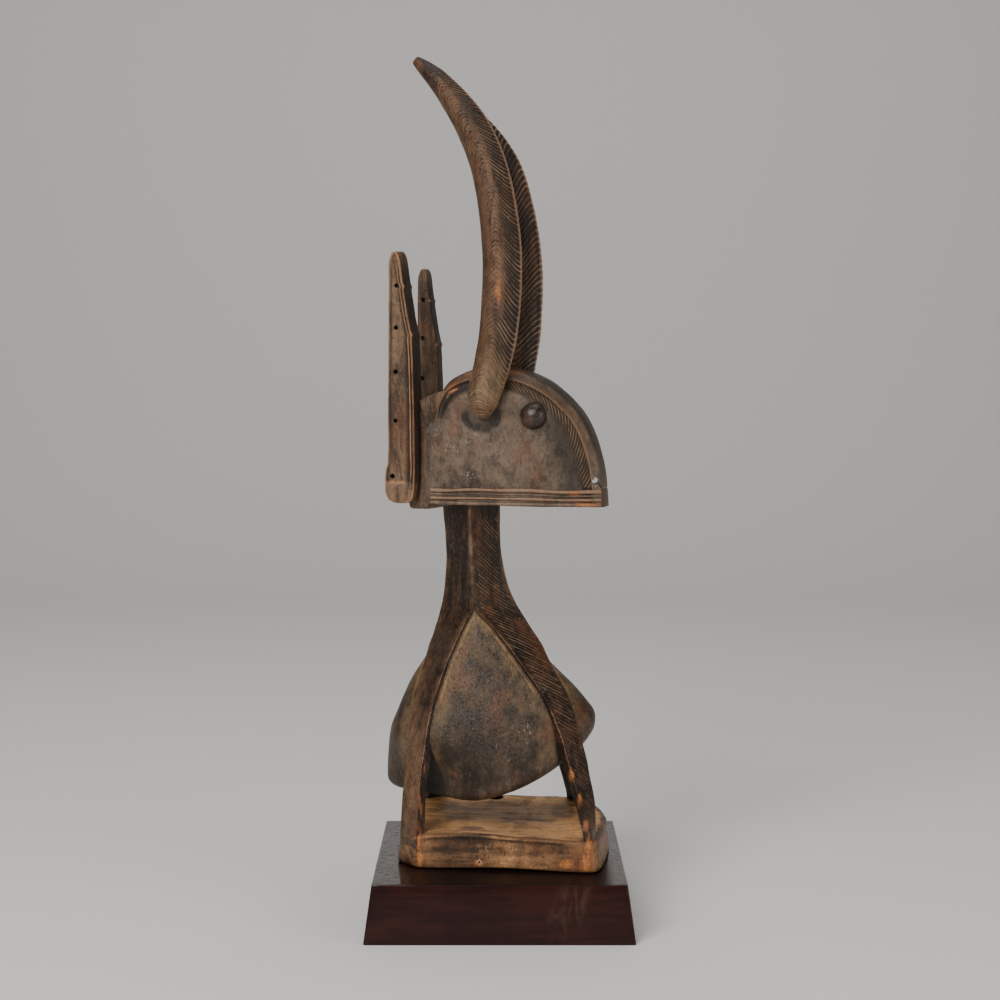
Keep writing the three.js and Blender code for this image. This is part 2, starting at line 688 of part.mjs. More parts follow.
function plinth() {
  const ring = (side, z) =>
    [[-1, -1], [1, -1], [1, 1], [-1, 1]].map(
      ([x, y]) => new THREE.Vector3((x * side) / 2, (y * side) / 2, z),
    );
  return loft([ring(plinthFootSide, 0), ring(plinthTopSide, plinthHeight)]);
}

const carvedWood = new THREE.MeshStandardMaterial({ color: 0x5a4030, roughness: 0.6, metalness: 0 });
const plinthWood = new THREE.MeshStandardMaterial({ color: 0x2a1714, roughness: 0.35, metalness: 0 });

const headdress = meshOf(carving(), "headdress", carvedWood);
headdress.position.set(seatForward, seatBack, plinthHeight);
headdress.rotation.z = THREE.MathUtils.degToRad(trunkTurn);

const chiwara = new THREE.Group();
chiwara.add(headdress, meshOf(solidOf(plinth()), "plinth", plinthWood));

export default chiwara;
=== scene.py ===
"""A chiwara headdress on its plinth: an antelope carved from one block of dark wood, its edges worn
to tan and orange, standing on a low square block stained nearly black. Lengths are in metres."""

import math

import bpy
import numpy as np
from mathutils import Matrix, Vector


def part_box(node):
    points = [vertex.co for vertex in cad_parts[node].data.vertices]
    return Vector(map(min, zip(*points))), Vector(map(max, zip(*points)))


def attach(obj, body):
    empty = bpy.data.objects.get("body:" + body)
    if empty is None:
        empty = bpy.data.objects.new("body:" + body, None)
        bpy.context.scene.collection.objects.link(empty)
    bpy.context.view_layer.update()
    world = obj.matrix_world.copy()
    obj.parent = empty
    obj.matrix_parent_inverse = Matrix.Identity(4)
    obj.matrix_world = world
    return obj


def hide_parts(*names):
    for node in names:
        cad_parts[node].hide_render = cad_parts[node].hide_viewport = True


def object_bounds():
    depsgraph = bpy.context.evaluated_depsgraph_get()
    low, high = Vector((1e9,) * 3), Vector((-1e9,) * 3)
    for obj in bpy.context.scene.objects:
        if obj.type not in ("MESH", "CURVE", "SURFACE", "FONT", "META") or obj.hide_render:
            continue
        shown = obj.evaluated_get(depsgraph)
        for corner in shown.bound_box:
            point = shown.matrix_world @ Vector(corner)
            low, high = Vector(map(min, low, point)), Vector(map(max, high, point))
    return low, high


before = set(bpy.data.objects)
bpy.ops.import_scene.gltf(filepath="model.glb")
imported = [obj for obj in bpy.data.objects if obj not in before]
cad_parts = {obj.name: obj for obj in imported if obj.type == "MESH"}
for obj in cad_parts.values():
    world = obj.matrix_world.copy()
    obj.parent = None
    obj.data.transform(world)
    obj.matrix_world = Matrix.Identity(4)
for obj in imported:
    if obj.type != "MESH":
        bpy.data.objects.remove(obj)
cad_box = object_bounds()

bl_info = {
    "name": "Chiwara Headdress",
    "version": (1, 0, 0),
    "blender": (4, 5, 0),
    "location": "View3D > Sidebar > Chiwara",
    "description": "Builds a carved antelope headdress, its plinth and a plain studio",
    "category": "Object",
}

MM = 0.001
NEAR = -1
FAR = 1

PLINTH_LOW, PLINTH_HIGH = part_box("plinth")
PLINTH_HEIGHT = PLINTH_HIGH.z
PLINTH_FOOT = PLINTH_HIGH.x - PLINTH_LOW.x
PLINTH_DRAW = 10.8 * MM
PLINTH_EDGE = 0.7 * MM
PLINTH_CORNER = 1.2 * MM

# Place of the carving on the plinth, and its turns about the vertical
SEAT_GAP = 0.3 * MM
SEAT = (3.5 * MM, 12 * MM, PLINTH_HEIGHT)
TRUNK_TURN = math.radians(-6.5)
HEAD_TURN = math.radians(-20)

# Foot plate
PLATE_LENGTH = 134 * MM
PLATE_WIDTH = 124 * MM
PLATE_THICKNESS = 22 * MM
PLATE_REAR_CUT = 15 * MM
PLATE_FRONT_CUT = 5 * MM
PLATE_BOW = 5 * MM
PLATE_FLARE = 1.5 * MM
PLATE_EDGE = 0.7 * MM
PLATE_FOOT_ROUND = 1.3 * MM
PLATE_BROW_ROUND = 2.2 * MM
FAR_CUT_BACK = 23 * MM
FAR_CUT_IN = 36 * MM
FAR_LEG_BACK = 10 * MM
TIE_HOLE_DIAMETER = 10 * MM
TIE_HOLE_INSET = 8 * MM
TIE_HOLE_BEHIND_MIDDLE = 12 * MM
PIT_DIAMETER = 3 * MM
SIDE_PIT = [(5.5 * MM, y, 67 * MM) for y in (-70 * MM, -52.5 * MM)]
FOOT_PIT = [(-10 * MM, y, 5.5 * MM) for y in (-70 * MM, -61.3 * MM)]

# Trunk
NECK_SIDE = 28 * MM
NECK_SIDE_SKEW = 1.2 * MM
NECK_SET_BACK = 23.2 * MM
CHIN_HEIGHT = 243 * MM
FORK_HEIGHT = 171 * MM
LEG_BREAK_HEIGHT = 84 * MM
BREAST_FORK_HEIGHT = 142 * MM
LEG_THICKNESS = 10 * MM
LEG_FOOT_THICKNESS = 6.5 * MM
RIDGE_FLAT = 1 * MM
STROKE_FALL_LOW = 13 * MM
STROKE_FALL_HIGH = 24 * MM
# How deep the rings of one stroke are cut, as shares of its depth
STROKE_RINGS = np.array([0, 0.35, 1, 0.1])
BODY_FLOOR_HEIGHT = 42.2 * MM
BODY_REAR_CORNER_CLEAR = 22 * MM
BODY_FRONT_CORNER_CLEAR = 6 * MM
BODY_SWELL_PER_CLEAR = 0.36
BODY_DRAWN_BACK_BELOW = 0.36 * CHIN_HEIGHT
BODY_DRAWN_BACK_WITHIN = 0.17 * CHIN_HEIGHT
BODY_MIDDLE = -0.13 * PLATE_LENGTH
BODY_EDGE_ROUND = 7 * MM
BODY_TUCK = 2 * MM
# How much closer the panels' columns stand near their edges
COLUMN_CROWDING = 0.12
BELLY_LIFT = 0.019
BELLY_LIFT_POWER = 1.7
BELLY_LIFT_START = 26

# Head
HEAD_LENGTH = 125 * MM
HEAD_HEIGHT = 95 * MM
HEAD_BACK_HALF = 25.5 * MM
SNOUT_HALF = 8 * MM
CREST_HALF = 5.5 * MM
HEAD_BACK = -0.195 * HEAD_LENGTH
# Places in the head's side view, as shares of its length and height
HEAD_FOCUS = (0.43, 0.2)
EYE_PLACE = (0.61, 0.645)
MOUTH_PLACE = (0.945, 0.18)
SOCKET_HALF = np.array([12, 8.5]) * MM
SOCKET_DEPTH = 1.3 * MM
NUCHAL_LENGTH = 14 * MM
NAPE_DROP = 4 * MM
MOUTH_HOLE_DIAMETER = 4.6 * MM
MOUTH_HOLE_SKEW = math.radians(20)
MOUTH_SLIT = 1.1 * MM
MOUTH_SLIT_LENGTH = 0.11 * HEAD_LENGTH
MOUTH_SLOPE = math.radians(60)

# Ears
NEAR_EAR_LENGTH = 172 * MM
FAR_EAR_LENGTH = 162 * MM
FAR_EAR_SHARE = 0.87
EAR_BOTTOM = CHIN_HEIGHT + 0.5 * MM
EAR_OUTER_REACH = 31 * MM
EAR_THICKNESS = 12.5 * MM
EAR_BORDER = 3.5 * MM
EAR_CHANNEL_DEPTH = 1.5 * MM
EAR_HOLE_DIAMETER = 3 * MM
EAR_HOLES = (0.108, 0.33, 0.525, 0.7, 0.866)
EAR_STEPS = (0.862, 0.672)
# How many points of an ear's section lie behind its front border
EAR_OUTER_POINTS = 14

# Horns
HORN_RISE = 243 * MM
HORN_ROOT = CHIN_HEIGHT + 61 * MM
HORN_THICKNESS = 27.5 * MM
HORN_FLATNESS = 0.92
FAR_HORN_SHARE = 0.96
FAR_HORN_CURL = 0.021
FAR_HORN_TAPER = 0.45
FAR_HORN_PITCH_SHARE = 1.25
HORN_SLANT = 1.45
HORN_SIDES = 34
# How deep the rings of one stroke are cut, as shares of its depth, and how dark the painted shadow
# beside it is
HORN_STROKE_RINGS = np.array([0, 0.2, 1, 0.45, 0])
HORN_STROKE_SHADOW_RINGS = np.array([0.15, 1, 0, 0, 0.3])

# The blade's soft waves
LONG_WAVE = 46 * MM
SHORT_WAVE = 17 * MM

# Where hands and knocks have bared the wood: x, y and z in the trunk's frame, then the mark's half
# width and half height, all in millimetres
BARE_PLACES = (
    (50.5, -49, 64, 2.4, 5), (56.5, -54, 49, 2.2, 7), (61, -58, 31, 2.6, 6), (63, -61, 18, 3, 8),
    (61, -63, 8, 4.5, 8), (49, -63, 6.5, 8, 3.6), (-51.5, -61, 17, 2, 12), (-50.5, -63, 6, 2.6, 7),
    (-51.5, -54, 38, 1.8, 16), (-50, -47, 62, 1.3, 9), (-0.3, -40.5, 388, 2.4, 10), (-1, -41, 441, 2.4, 5),
    (-35, -19, 323, 8, 5), (-22, -19, 333, 8, 3), (10, -19, 334, 9, 3), (60, -32, 244.5, 10, 2.2),
    (-3.3, -39.5, 106.8, 1.3, 3), (11, -27, 314, 4, 1.6), (-58, -35, 258, 1.5, 5),
    (1, -37, 172, 2, 5), (9, -42, 158, 1.2, 4), (51, -33, 252, 5, 2), (-51.5, -58, 27, 1.3, 14),
    (-10, -63, 5.5, 3.4, 3.4), (-49, -57, 47, 0.9, 9), (-47, -50, 74, 0.9, 12), (66, -48, 14, 2, 8),
    (28, 30, 395, 6, 11),
)
# Where pale dust sits in specks, in the same form
DUSTY_PLACES = (
    (13, -30, 294, 3, 3), (27, -31.5, 279, 5, 3), (-22, -25, 288, 6, 6), (-36, -22, 282, 5, 5),
    (-19, -26, 263, 10, 4), (-5, -62.5, 16, 7, 4), (-10, -63, 5.5, 2.4, 2.4), (-9, -42, 312, 6, 9),
    (-55, -35, 66, 4, 14), (30, -31, 118, 5, 6), (-60, -35, 258, 5, 5), (20, -44, 92, 5, 8),
)

# Camera and studio
CAMERA_PLACE = (0.00023, -1.2968, 0.3920)
CAMERA_PITCH = math.radians(85.265)
CAMERA_LENS = 68.115
CAMERA_SENSOR = 36
FLOOR_REACH = 3.0
FLOOR_BEND = 1.6
FLOOR_BEND_RADIUS = 0.9
LIGHTS_AIM = (0, 0, 0.3)
LIGHT_COLOUR = (1.0, 0.97, 0.92)
ROOM_COLOUR = (0.6, 0.58, 0.56, 1)
ROOM_STRENGTH = 0.2

# What every point carries: how worn, knocked bare and stroked it is, how dark with dirt and painted
# shade, how dusty and pale with painted sheen and painted light, its white specks, its way across
# painted strokes and how strong those are, and whether a formula made it
ATTRIBUTES = ("wear", "glow", "line", "hollow", "dust_and_sheen", "specks", "way", "hatch", "made")
PARTS = ("trunk", "body", "plate", "head", "eyes", "ears", "horns")
MOST_TRIANGLES = 198000
# Rounds in which values spread to the points that the cuts added
SPREAD_ROUNDS = 4


def smooth(x, low, high):
    """0 below low and 1 above high, with the cubic 3s^2 - 2s^3 of the share s in between."""
    s = np.clip((x - low) / (high - low), 0, 1)
    return s * s * (3 - 2 * s)


def bell(x, middle, half, power=2):
    """1 at the middle, falling to both sides: e to the minus a power of the distance in halves."""
    return np.exp(-(((x - middle) / half) ** power))


def mix(a, b, share):
    """The value that share of the way from a to b gives."""
    return a + (b - a) * share


def chance(number, salt=0.0):
    """A fixed number from 0 to 1 for each number: what follows the point of a large sine."""
    return np.modf(np.abs(np.sin(number * 12.9898 + salt * 78.233)) * 43758.5453)[0]


def ripple(points, length, salt=0.0):
    """Soft waves in space from about -1 to 1: a sum of sines along slanted directions, each bent by
    the one before, with wave lengths near the given length."""
    x, y, z = np.moveaxis(np.asarray(points) * (2 * np.pi / length), -1, 0)
    first = np.sin(x * 0.83 + y * 0.31 + z * 0.47 + salt)
    second = np.sin(y * 0.91 - x * 0.27 + z * 0.36 + 1.7 * first + salt * 2.1)
    third = np.sin(z * 0.88 + x * 0.42 - y * 0.39 + 1.3 * second + salt * 3.7)
    return (first + second + third) / 3


def through(knots):
    """A smooth curve through knots [t, value, ...]: cubic pieces whose slope at a knot is that of
    the line between its two neighbours. Outside the knots it keeps its end values."""
    table = np.array(knots, float)
    t = table[:, 0]
    values = table[:, 1:]
    before = np.maximum(np.arange(len(t)) - 1, 0)
    after = np.minimum(np.arange(len(t)) + 1, len(t) - 1)
    slopes = (values[after] - values[before]) / (t[after] - t[before])[:, None]

    def curve(where):
        """The curve's values at an array of places, along a new last axis."""
        u = np.clip(np.asarray(where, float), t[0], t[-1])
        i = np.clip(np.searchsorted(t, u, side="right") - 1, 0, len(t) - 2)
        span = (t[i + 1] - t[i])[..., None]
        s = (u - t[i])[..., None] / span
        rise = values[i + 1] - values[i]
        start = slopes[i] * span
        end = slopes[i + 1] * span
        return values[i] + s * (start + s * (3 * rise - 2 * start - end + s * (start + end - 2 * rise)))

    return curve


def stack(x, y, z):
    """Three arrays, stretched to one shape, as one array of points."""
    return np.stack(np.broadcast_arrays(x, y, z), -1)


def unit(vectors):
    """Vectors scaled to the length one."""
    return vectors / np.linalg.norm(vectors, axis=-1, keepdims=True)


def joined(*lists):
    """Each list's arrays side by side, as one array."""
    return [np.concatenate(columns, 1) for columns in lists]


def turned(points, angle, offset=(0.0, 0.0, 0.0)):
    """Points turned about the vertical axis, then moved."""
    c, s = math.cos(angle), math.sin(angle)
    x, y, z = np.moveaxis(points, -1, 0)
    return np.stack([x * c - y * s, x * s + y * c, z], -1) + np.array(offset)


def on_seat(points):
    """From the trunk's frame to the object's."""
    return turned(points, TRUNK_TURN, SEAT)


def off_seat(points):
    """From the object's frame to the trunk's."""
    return turned(points - np.array(SEAT), -TRUNK_TURN)


def on_neck(points):
    """From the head's frame to the object's: turned about the neck's axis, then set on the seat."""
    return on_seat(turned(points, HEAD_TURN - TRUNK_TURN, (-NECK_SET_BACK, 0, 0)))


def placed(name, data):
    """A new object in the scene."""
    made = bpy.data.objects.new(name, data)
    bpy.context.scene.collection.objects.link(made)
    return made


def smoothed(mesh, degrees=None):
    """Shades a mesh smooth, but for edges sharper than an angle where one is given."""
    mesh.polygons.foreach_set("use_smooth", np.ones(len(mesh.polygons), bool))
    if degrees:
        mesh.set_sharp_from_angle(angle=math.radians(degrees))


class Skin:
    """Points and faces of a closed surface, with the values that each point carries."""

    def __init__(self, rings, part, place=on_seat, **values):
        """Rings of equally many points, joined by quads. Both ends are closed by a fan to the middle
        of the last ring. Values are arrays of one number for each point of the rings."""
        count, sides = rings.shape[:2]
        index = np.arange(count * sides).reshape(count, sides)
        beside = np.roll(index, -1, axis=1)
        quads = np.stack([index[:-1], beside[:-1], beside[1:], index[1:]], -1).reshape(-1, 4)
        low = np.full(sides, count * sides)
        high = low + 1
        fans = np.concatenate([
            np.stack([beside[0], index[0], low], -1),
            np.stack([index[-1], beside[-1], high], -1),
        ])
        self.part = part
        self.points = place(np.concatenate([rings.reshape(-1, 3), rings[:1].mean(1), rings[-1:].mean(1)]))
        self.quads = quads
        self.fans = fans
        self.values = {name: np.zeros(len(self.points)) for name in ATTRIBUTES}
        self.values["made"] += 1
        for name, value in values.items():
            self.values[name][:-2] = np.broadcast_to(value, (count, sides)).ravel()

    def volume(self):
        """A sixth of the sum, over all triangles, of the box product of their corners."""
        corners = np.concatenate([self.quads[:, [0, 1, 2]], self.quads[:, [0, 2, 3]], self.fans])
        a, b, c = (self.points[corners[:, i]] for i in range(3))
        return np.einsum("ij,ij->i", a, np.cross(b, c)).sum() / 6

    def make(self, name):
        """The surface as an object whose faces point outwards and know which part they belong to."""
        turn = 1 if self.volume() > 0 else -1
        faces = self.quads[:, ::turn].tolist() + self.fans[:, ::turn].tolist()
        mesh = bpy.data.meshes.new(name)
        mesh.from_pydata(self.points.tolist(), [], faces)
        for attribute, value in self.values.items():
            mesh.attributes.new(attribute, "FLOAT", "POINT").data.foreach_set(
                "value", value.astype(np.float32)
            )
        for part in PARTS:
            mesh.materials.append(bpy.data.materials.get(part) or bpy.data.materials.new(part))
        mesh.polygons.foreach_set("material_index", np.full(len(faces), PARTS.index(self.part), np.int32))
        mesh.update()
        return placed(name, mesh)


def carve(target, operation, *tools):
    """Joins tools to the target or cuts them out of it, one after another, and removes them."""
    for tool in tools:
        cut = target.modifiers.new("Carve", "BOOLEAN")
        cut.operation = operation
        cut.solver = "MANIFOLD"
        cut.object = tool
    depsgraph = bpy.context.evaluated_depsgraph_get()
    mesh = bpy.data.meshes.new_from_object(target.evaluated_get(depsgraph))
    if not len(mesh.polygons):
        raise RuntimeError(f"nothing is left of {target.name} after the step {operation}")
    target.modifiers.clear()
    old = target.data
    target.data = mesh
    bpy.data.meshes.remove(old)
    for tool in tools:
        used = tool.data
        bpy.data.objects.remove(tool)
        bpy.data.meshes.remove(used)
    return target


# The trunk's long ridges come in pairs. Each starts on a corner of the square neck and ends at a
# corner of the foot plate. Knots: share of the chin's height, share of the way forward or back,
# share of the way out sideways.
NECK_HALF = NECK_SIDE / math.sqrt(2)
RIDGES = {
    "rear_side": {
        "neck": (-NECK_SET_BACK + NECK_SIDE_SKEW, NECK_HALF),
        "near": (-PLATE_LENGTH / 2 + PLATE_REAR_CUT, PLATE_WIDTH / 2 - PLATE_EDGE),
        "far": (-PLATE_LENGTH / 2 + PLATE_REAR_CUT, PLATE_WIDTH / 2 - PLATE_EDGE),
        "flat": (-1, 0),
        "way": through([
            [0, 1, 1], [0.07, 1.01, 1], [0.17, 0.99, 0.865], [0.25, 0.97, 0.75], [0.32, 0.905, 0.635],
            [0.395, 0.83, 0.527], [0.45, 0.733, 0.428], [0.506, 0.6, 0.33], [0.56, 0.455, 0.25],
            [0.61, 0.287, 0.154], [0.667, 0.067, 0.055], [0.704, -0.1, 0], [0.76, -0.07, 0],
            [0.926, -0.01, 0], [1, 0, 0],
        ]),
    },
    "front_side": {
        "neck": (-NECK_SET_BACK + NECK_SIDE_SKEW, NECK_HALF),
        "near": (PLATE_LENGTH / 2 - 1 * MM, PLATE_WIDTH / 2 - PLATE_EDGE),
        "far": (PLATE_LENGTH / 2 - FAR_CUT_BACK, PLATE_WIDTH / 2 - PLATE_EDGE),
        "flat": (1, 0),
        "way": through([
            [0, 1, 1], [0.1, 0.995, 0.985], [0.144, 0.95, 0.93], [0.2, 0.89, 0.85],
            [0.267, 0.815, 0.726], [0.36, 0.736, 0.588], [0.416, 0.67, 0.502], [0.47, 0.59, 0.403],
            [0.53, 0.467, 0.303], [0.593, 0.33, 0.204], [0.654, 0.18, 0.08], [0.704, 0.036, 0],
            [0.76, 0.025, 0], [0.926, 0.003, 0], [1, 0, 0],
        ]),
    },
    "front": {
        "neck": (-NECK_SET_BACK + NECK_HALF, 0),
        "near": (PLATE_LENGTH / 2 + 0.5 * MM, PLATE_WIDTH / 2 - 16 * MM),
        "far": (PLATE_LENGTH / 2 - FAR_LEG_BACK, PLATE_WIDTH / 2 - FAR_CUT_IN / 2),
        "flat": (0, 1),
        "way": through([
            [0, 1, 1], [0.15, 0.995, 1], [0.195, 0.98, 0.935], [0.24, 0.944, 0.86], [0.3, 0.892, 0.745],
            [0.39, 0.79, 0.565], [0.457, 0.7, 0.42], [0.52, 0.57, 0.27], [0.568, 0.475, 0.12],
            [0.6, 0.405, 0], [0.66, 0.27, 0], [0.712, 0.158, 0], [0.77, 0.076, 0], [0.835, 0.028, 0],
            [0.9, 0.003, 0], [1, 0, 0],
        ]),
    },
    "rear": {
        "neck": (-NECK_SET_BACK - NECK_HALF, 0),
        "near": (-PLATE_LENGTH / 2 + 0.2 * MM, PLATE_WIDTH / 2 - PLATE_REAR_CUT),
        "far": (-PLATE_LENGTH / 2 + 1 * MM, PLATE_WIDTH / 2 - PLATE_REAR_CUT),
        "flat": (0, 1),
        "way": through([
            [0, 1, 1], [0.07, 1, 1], [0.2, 0.945, 0.91], [0.333, 0.84, 0.652], [0.42, 0.75, 0.47],
            [0.49, 0.635, 0.326], [0.55, 0.52, 0.163], [0.59, 0.413, 0], [0.66, 0.174, 0],
            [0.724, 0.017, 0], [0.782, -0.06, 0], [0.844, -0.091, 0], [0.9, -0.065, 0], [1, 0.01, 0],
        ]),
    },
}
LEGS = (("rear_side", "rear"), ("front_side", "front"))
# For each side of the slab that a leg is left standing in: its columns, and how dark it is. That
# darkness is painted shade on the legs' inner faces that these sides leave.
SLAB_SIDES = ((1, 0), (7, 0.5), (5, 0.8), (7, 0.5))
# The trunk's faces: from which ridge to which they reach, how many columns they have between them,
# and the share of the strokes' fall at both ends
TRUNK_FACES = (
    ("rear_side", NEAR, "front_side", NEAR, 2, 0, 0),
    ("front_side", NEAR, "front", NEAR, 6, 0, 1),
    ("front", NEAR, "front", FAR, 2, 1, 1),
    ("front", FAR, "front_side", FAR, 6, 1, 0),
    ("front_side", FAR, "rear_side", FAR, 2, 0, 0),
    ("rear_side", FAR, "rear", FAR, 3, 0, 0),
    ("rear", FAR, "rear", NEAR, 2, 0, 0),
    ("rear", NEAR, "rear_side", NEAR, 3, 0, 0),
)
# Distances from a ridge at which the trunk's mesh has a column, so that its worn edge is sharp
RIDGE_COLUMNS = np.array([0, 0.5, 1.2, 2.2]) * MM


def ridge(name, height, side):
    """The plan of a ridge at a height: between its neck corner and its foot by the curve's two
    shares, moved half a ridge's flat width outwards."""
    line = RIDGES[name]
    foot = line["near"] if side == NEAR else line["far"]
    way = line["way"](height / CHIN_HEIGHT)
    x = mix(line["neck"][0], foot[0], way[..., 0]) + line["flat"][0] * RIDGE_FLAT / 2
    y = mix(line["neck"][1], foot[1], way[..., 1]) + line["flat"][1] * RIDGE_FLAT / 2
    return np.stack([x, side * y], -1)


def leg_face(a, b):
    """The directions of a leg's outer face in plan: along it from a to b, and outwards from the
    neck's axis."""
    along = unit(b - a)
    outward = np.stack([along[..., 1], -along[..., 0]], -1)
    from_axis = a - np.array([-NECK_SET_BACK, 0])
    turn = np.sign((outward * from_axis).sum(-1, keepdims=True))
    return along, outward * turn


def raised(plan, height):
    """A plan with its height, as points in space."""
    return stack(plan[..., 0], plan[..., 1], height)


def stroke_strength(stroke, level, forward):
    """How strongly each of the trunk's strokes is cut, from 0 to 1. Each starts and ends a little
    elsewhere between the two ridges. None reaches the chin or the foot plate, and on the lower legs
    every other one is fainter."""
    starts = 0.02 + 0.12 * chance(stroke, 1.3) ** 2
    ends = 0.99 - 0.16 * chance(stroke, 4.1) ** 3
    length = smooth(forward, starts, starts + 0.05) * (1 - smooth(forward, ends - 0.06, ends))
    under_chin = 1 - smooth(level, CHIN_HEIGHT - 11 * MM, CHIN_HEIGHT - 8 * MM)
    coarse = 1 - smooth(level, LEG_BREAK_HEIGHT - 3 * MM, LEG_BREAK_HEIGHT + 3 * MM)
    strength = mix(mix(0.7, 1, chance(stroke, 2.2)), mix(0.4, 1, stroke % 2), coarse)
    return length * smooth(level, 24 * MM, 30 * MM) * under_chin * strength


def trunk_skin(settings):
    """The trunk's outer form. Its rings are eight-cornered sections between the ridges. On the two
    forward faces each ring falls from the side ridge to the front ridge, so that the rings run along
    the carved strokes, and every fourth ring is cut in by the strokes' depth."""
    floor = 0.4 * PLATE_THICKNESS
    roof = CHIN_HEIGHT + 0.33 * HEAD_HEIGHT
    each = len(STROKE_RINGS)
    rows = int(round((roof - floor) / settings.stroke_pitch * each))
    ring = np.arange(rows + 1)
    height = mix(floor, roof, ring / rows)[:, None]
    fall = mix(STROKE_FALL_LOW, STROKE_FALL_HIGH, smooth(height, 100 * MM, 200 * MM))
    fall = fall * smooth(height, 10 * MM, 42 * MM)
    stroke = np.floor((ring[:, None] + 1) / each)
    cut_row = STROKE_RINGS[ring % each][:, None]
    points, wear, line, dust_and_sheen = [], [], [], []
    for first, first_side, second, second_side, columns, start, end in TRUNK_FACES:
        share = (np.arange(columns) / columns)[None] + 0 * height
        if columns > 2:
            across = ridge(second, height, second_side) - ridge(first, height, first_side)
            close = RIDGE_COLUMNS / np.linalg.norm(across, axis=-1)
            between = mix(close[:, -1:], 1 - close[:, -1:], (np.arange(columns) + 1) / (columns + 1))
            share = np.concatenate([close, between, 1 - close[:, :0:-1]], 1)
        level = height - fall * mix(start, end, share)
        a = ridge(first, level, first_side)
        b = ridge(second, level, second_side)
        plan = a + (b - a) * share[..., None]
        forward = mix(start, end, share)
        cut = np.zeros_like(level)
        if start != end:
            cut = cut_row * stroke_strength(stroke, level, forward)
            plan = plan - leg_face(a, b)[1] * (settings.stroke_depth * cut)[..., None]
        points.append(raised(plan, level))
        width = np.linalg.norm(b - a, axis=-1)
        edge = np.minimum(share, 1 - share) * width
        side_ridge = np.where(share < 0.5, first.endswith("side"), second.endswith("side"))
        below_fork = 1 - smooth(level, FORK_HEIGHT - 20 * MM, FORK_HEIGHT)
        bright = mix(0.42, 0.85, below_fork) * mix(0.3, 1, smooth(level, 25 * MM, 70 * MM))
        wear.append(bell(edge, 0, 1.1 * MM, 4) * np.where(side_ridge, bright, 0.3))
        line.append(np.clip(cut, 0, 1) * mix(0.62, 1, smooth(level, 60 * MM, 110 * MM)))
        dry = 0.5 if "rear" in (first, second) else 0.1
        # A painted sheen: a pale band beside each ridge up the trunk, carried with the dusty value
        sheen = 0.35 * bell(edge, 0, 4 * MM) * smooth(level, 60 * MM, 150 * MM)
        dust_and_sheen.append(dry * (1 - smooth(level, 60 * MM, 150 * MM)) + sheen)
    points, wear, line, dust_and_sheen = joined(points, wear, line, dust_and_sheen)
    return Skin(points, "trunk", wear=wear, line=line, dust_and_sheen=dust_and_sheen)


def leg_slab(leg, side):
    """The slab that a leg is left standing in: a four-sided section that stands clear of the trunk's
    outer form and reaches one leg thickness in from it, carried down between the leg's two ridges.
    Above the breast's fork it runs on past the front ridge."""
    height = np.linspace(0.3 * PLATE_THICKNESS, FORK_HEIGHT + LEG_THICKNESS, 66)
    a = ridge(leg[0], height, side)
    b = ridge(leg[1], height, side)
    along, outward = leg_face(a, b)
    inside = np.where(height > BREAST_FORK_HEIGHT, -1.5 * MM, 0.4 * MM)[:, None]
    thickness = mix(LEG_FOOT_THICKNESS, LEG_THICKNESS, smooth(height, 60 * MM, 160 * MM))[:, None]
    start = a + along * 0.4 * MM
    end = b - along * inside
    corners = [
        start + outward * 6 * MM,
        end + outward * 6 * MM,
        end - outward * thickness,
        start - outward * thickness,
    ]
    points, hollow = [], []
    for here, there, (count, deep) in zip(corners, corners[1:] + corners[:1], SLAB_SIDES):
        t = (np.arange(count) / count)[None, :, None]
        points.append(raised(here[:, None] + (there - here)[:, None] * t, height[:, None]))
        # These sides become the legs' inner faces, darkened as painted shade
        hollow.append(np.full((len(height), count), deep))
    points, hollow = joined(points, hollow)
    return Skin(points, "trunk", hollow=hollow)


def block_skin(low, high, part, **values):
    """A plain block between two heights, wider than the foot plate."""
    square = np.array([[-1.5, -1.5], [1.5, -1.5], [1.5, 1.5], [-1.5, 1.5]]) * PLATE_LENGTH
    rings = np.stack([raised(square, np.full(4, z)) for z in (low, high)])
    return Skin(rings, part, **values)


def trunk(settings):
    """Neck and legs: the outer form, less everything below the fork that no leg slab keeps."""
    windows = block_skin(0.5 * PLATE_THICKNESS, FORK_HEIGHT, "trunk", hollow=1).make("windows")
    slabs = [leg_slab(leg, side).make("slab") for leg in LEGS for side in (NEAR, FAR)]
    carve(windows, "DIFFERENCE", *slabs)
    return carve(trunk_skin(settings).make("carved_headdress"), "DIFFERENCE", windows)


# Dents in the body's near panel: x, y, z, radius and depth, in millimetres
BODY_DENTS = (
    (-1.5, -50, 121, 7, 1.1), (5, -54, 67, 2.2, 1.3), (-22, -52, 88, 9, 0.6), (22, -50, 95, 8, 0.5),
)
# How far the body reaches forward and back, as shares of half the foot plate's length, and how far
# its side panels swell out, in millimetres. Knots: share of the chin's height, then those three.
BODY_REACH = through([
    [0.15, 0.74, 1.215, 8], [0.2, 0.76, 1.24, 8], [0.28, 0.83, 1.23, 8], [0.35, 0.93, 1.195, 7.5],
    [0.4, 0.945, 1.12, 7], [0.435, 0.86, 1.07, 6.5], [0.48, 0.72, 1.0, 6], [0.53, 0.53, 0.89, 5],
    [0.57, 0.39, 0.79, 4.5], [0.62, 0.28, 0.7, 4], [0.7, 0.1, 0.6, 2.5], [0.75, 0.04, 0.55, 2],
])


def lifted(height, forward):
    """A height on the body, raised towards the breast by a power of the way forward. The lift fades
    out up the body."""
    way = np.maximum(forward / MM + BELLY_LIFT_START, 0)
    lift = BELLY_LIFT * way ** BELLY_LIFT_POWER * MM
    return height + lift * (1 - smooth(height, BODY_FLOOR_HEIGHT, 0.86 * FORK_HEIGHT))


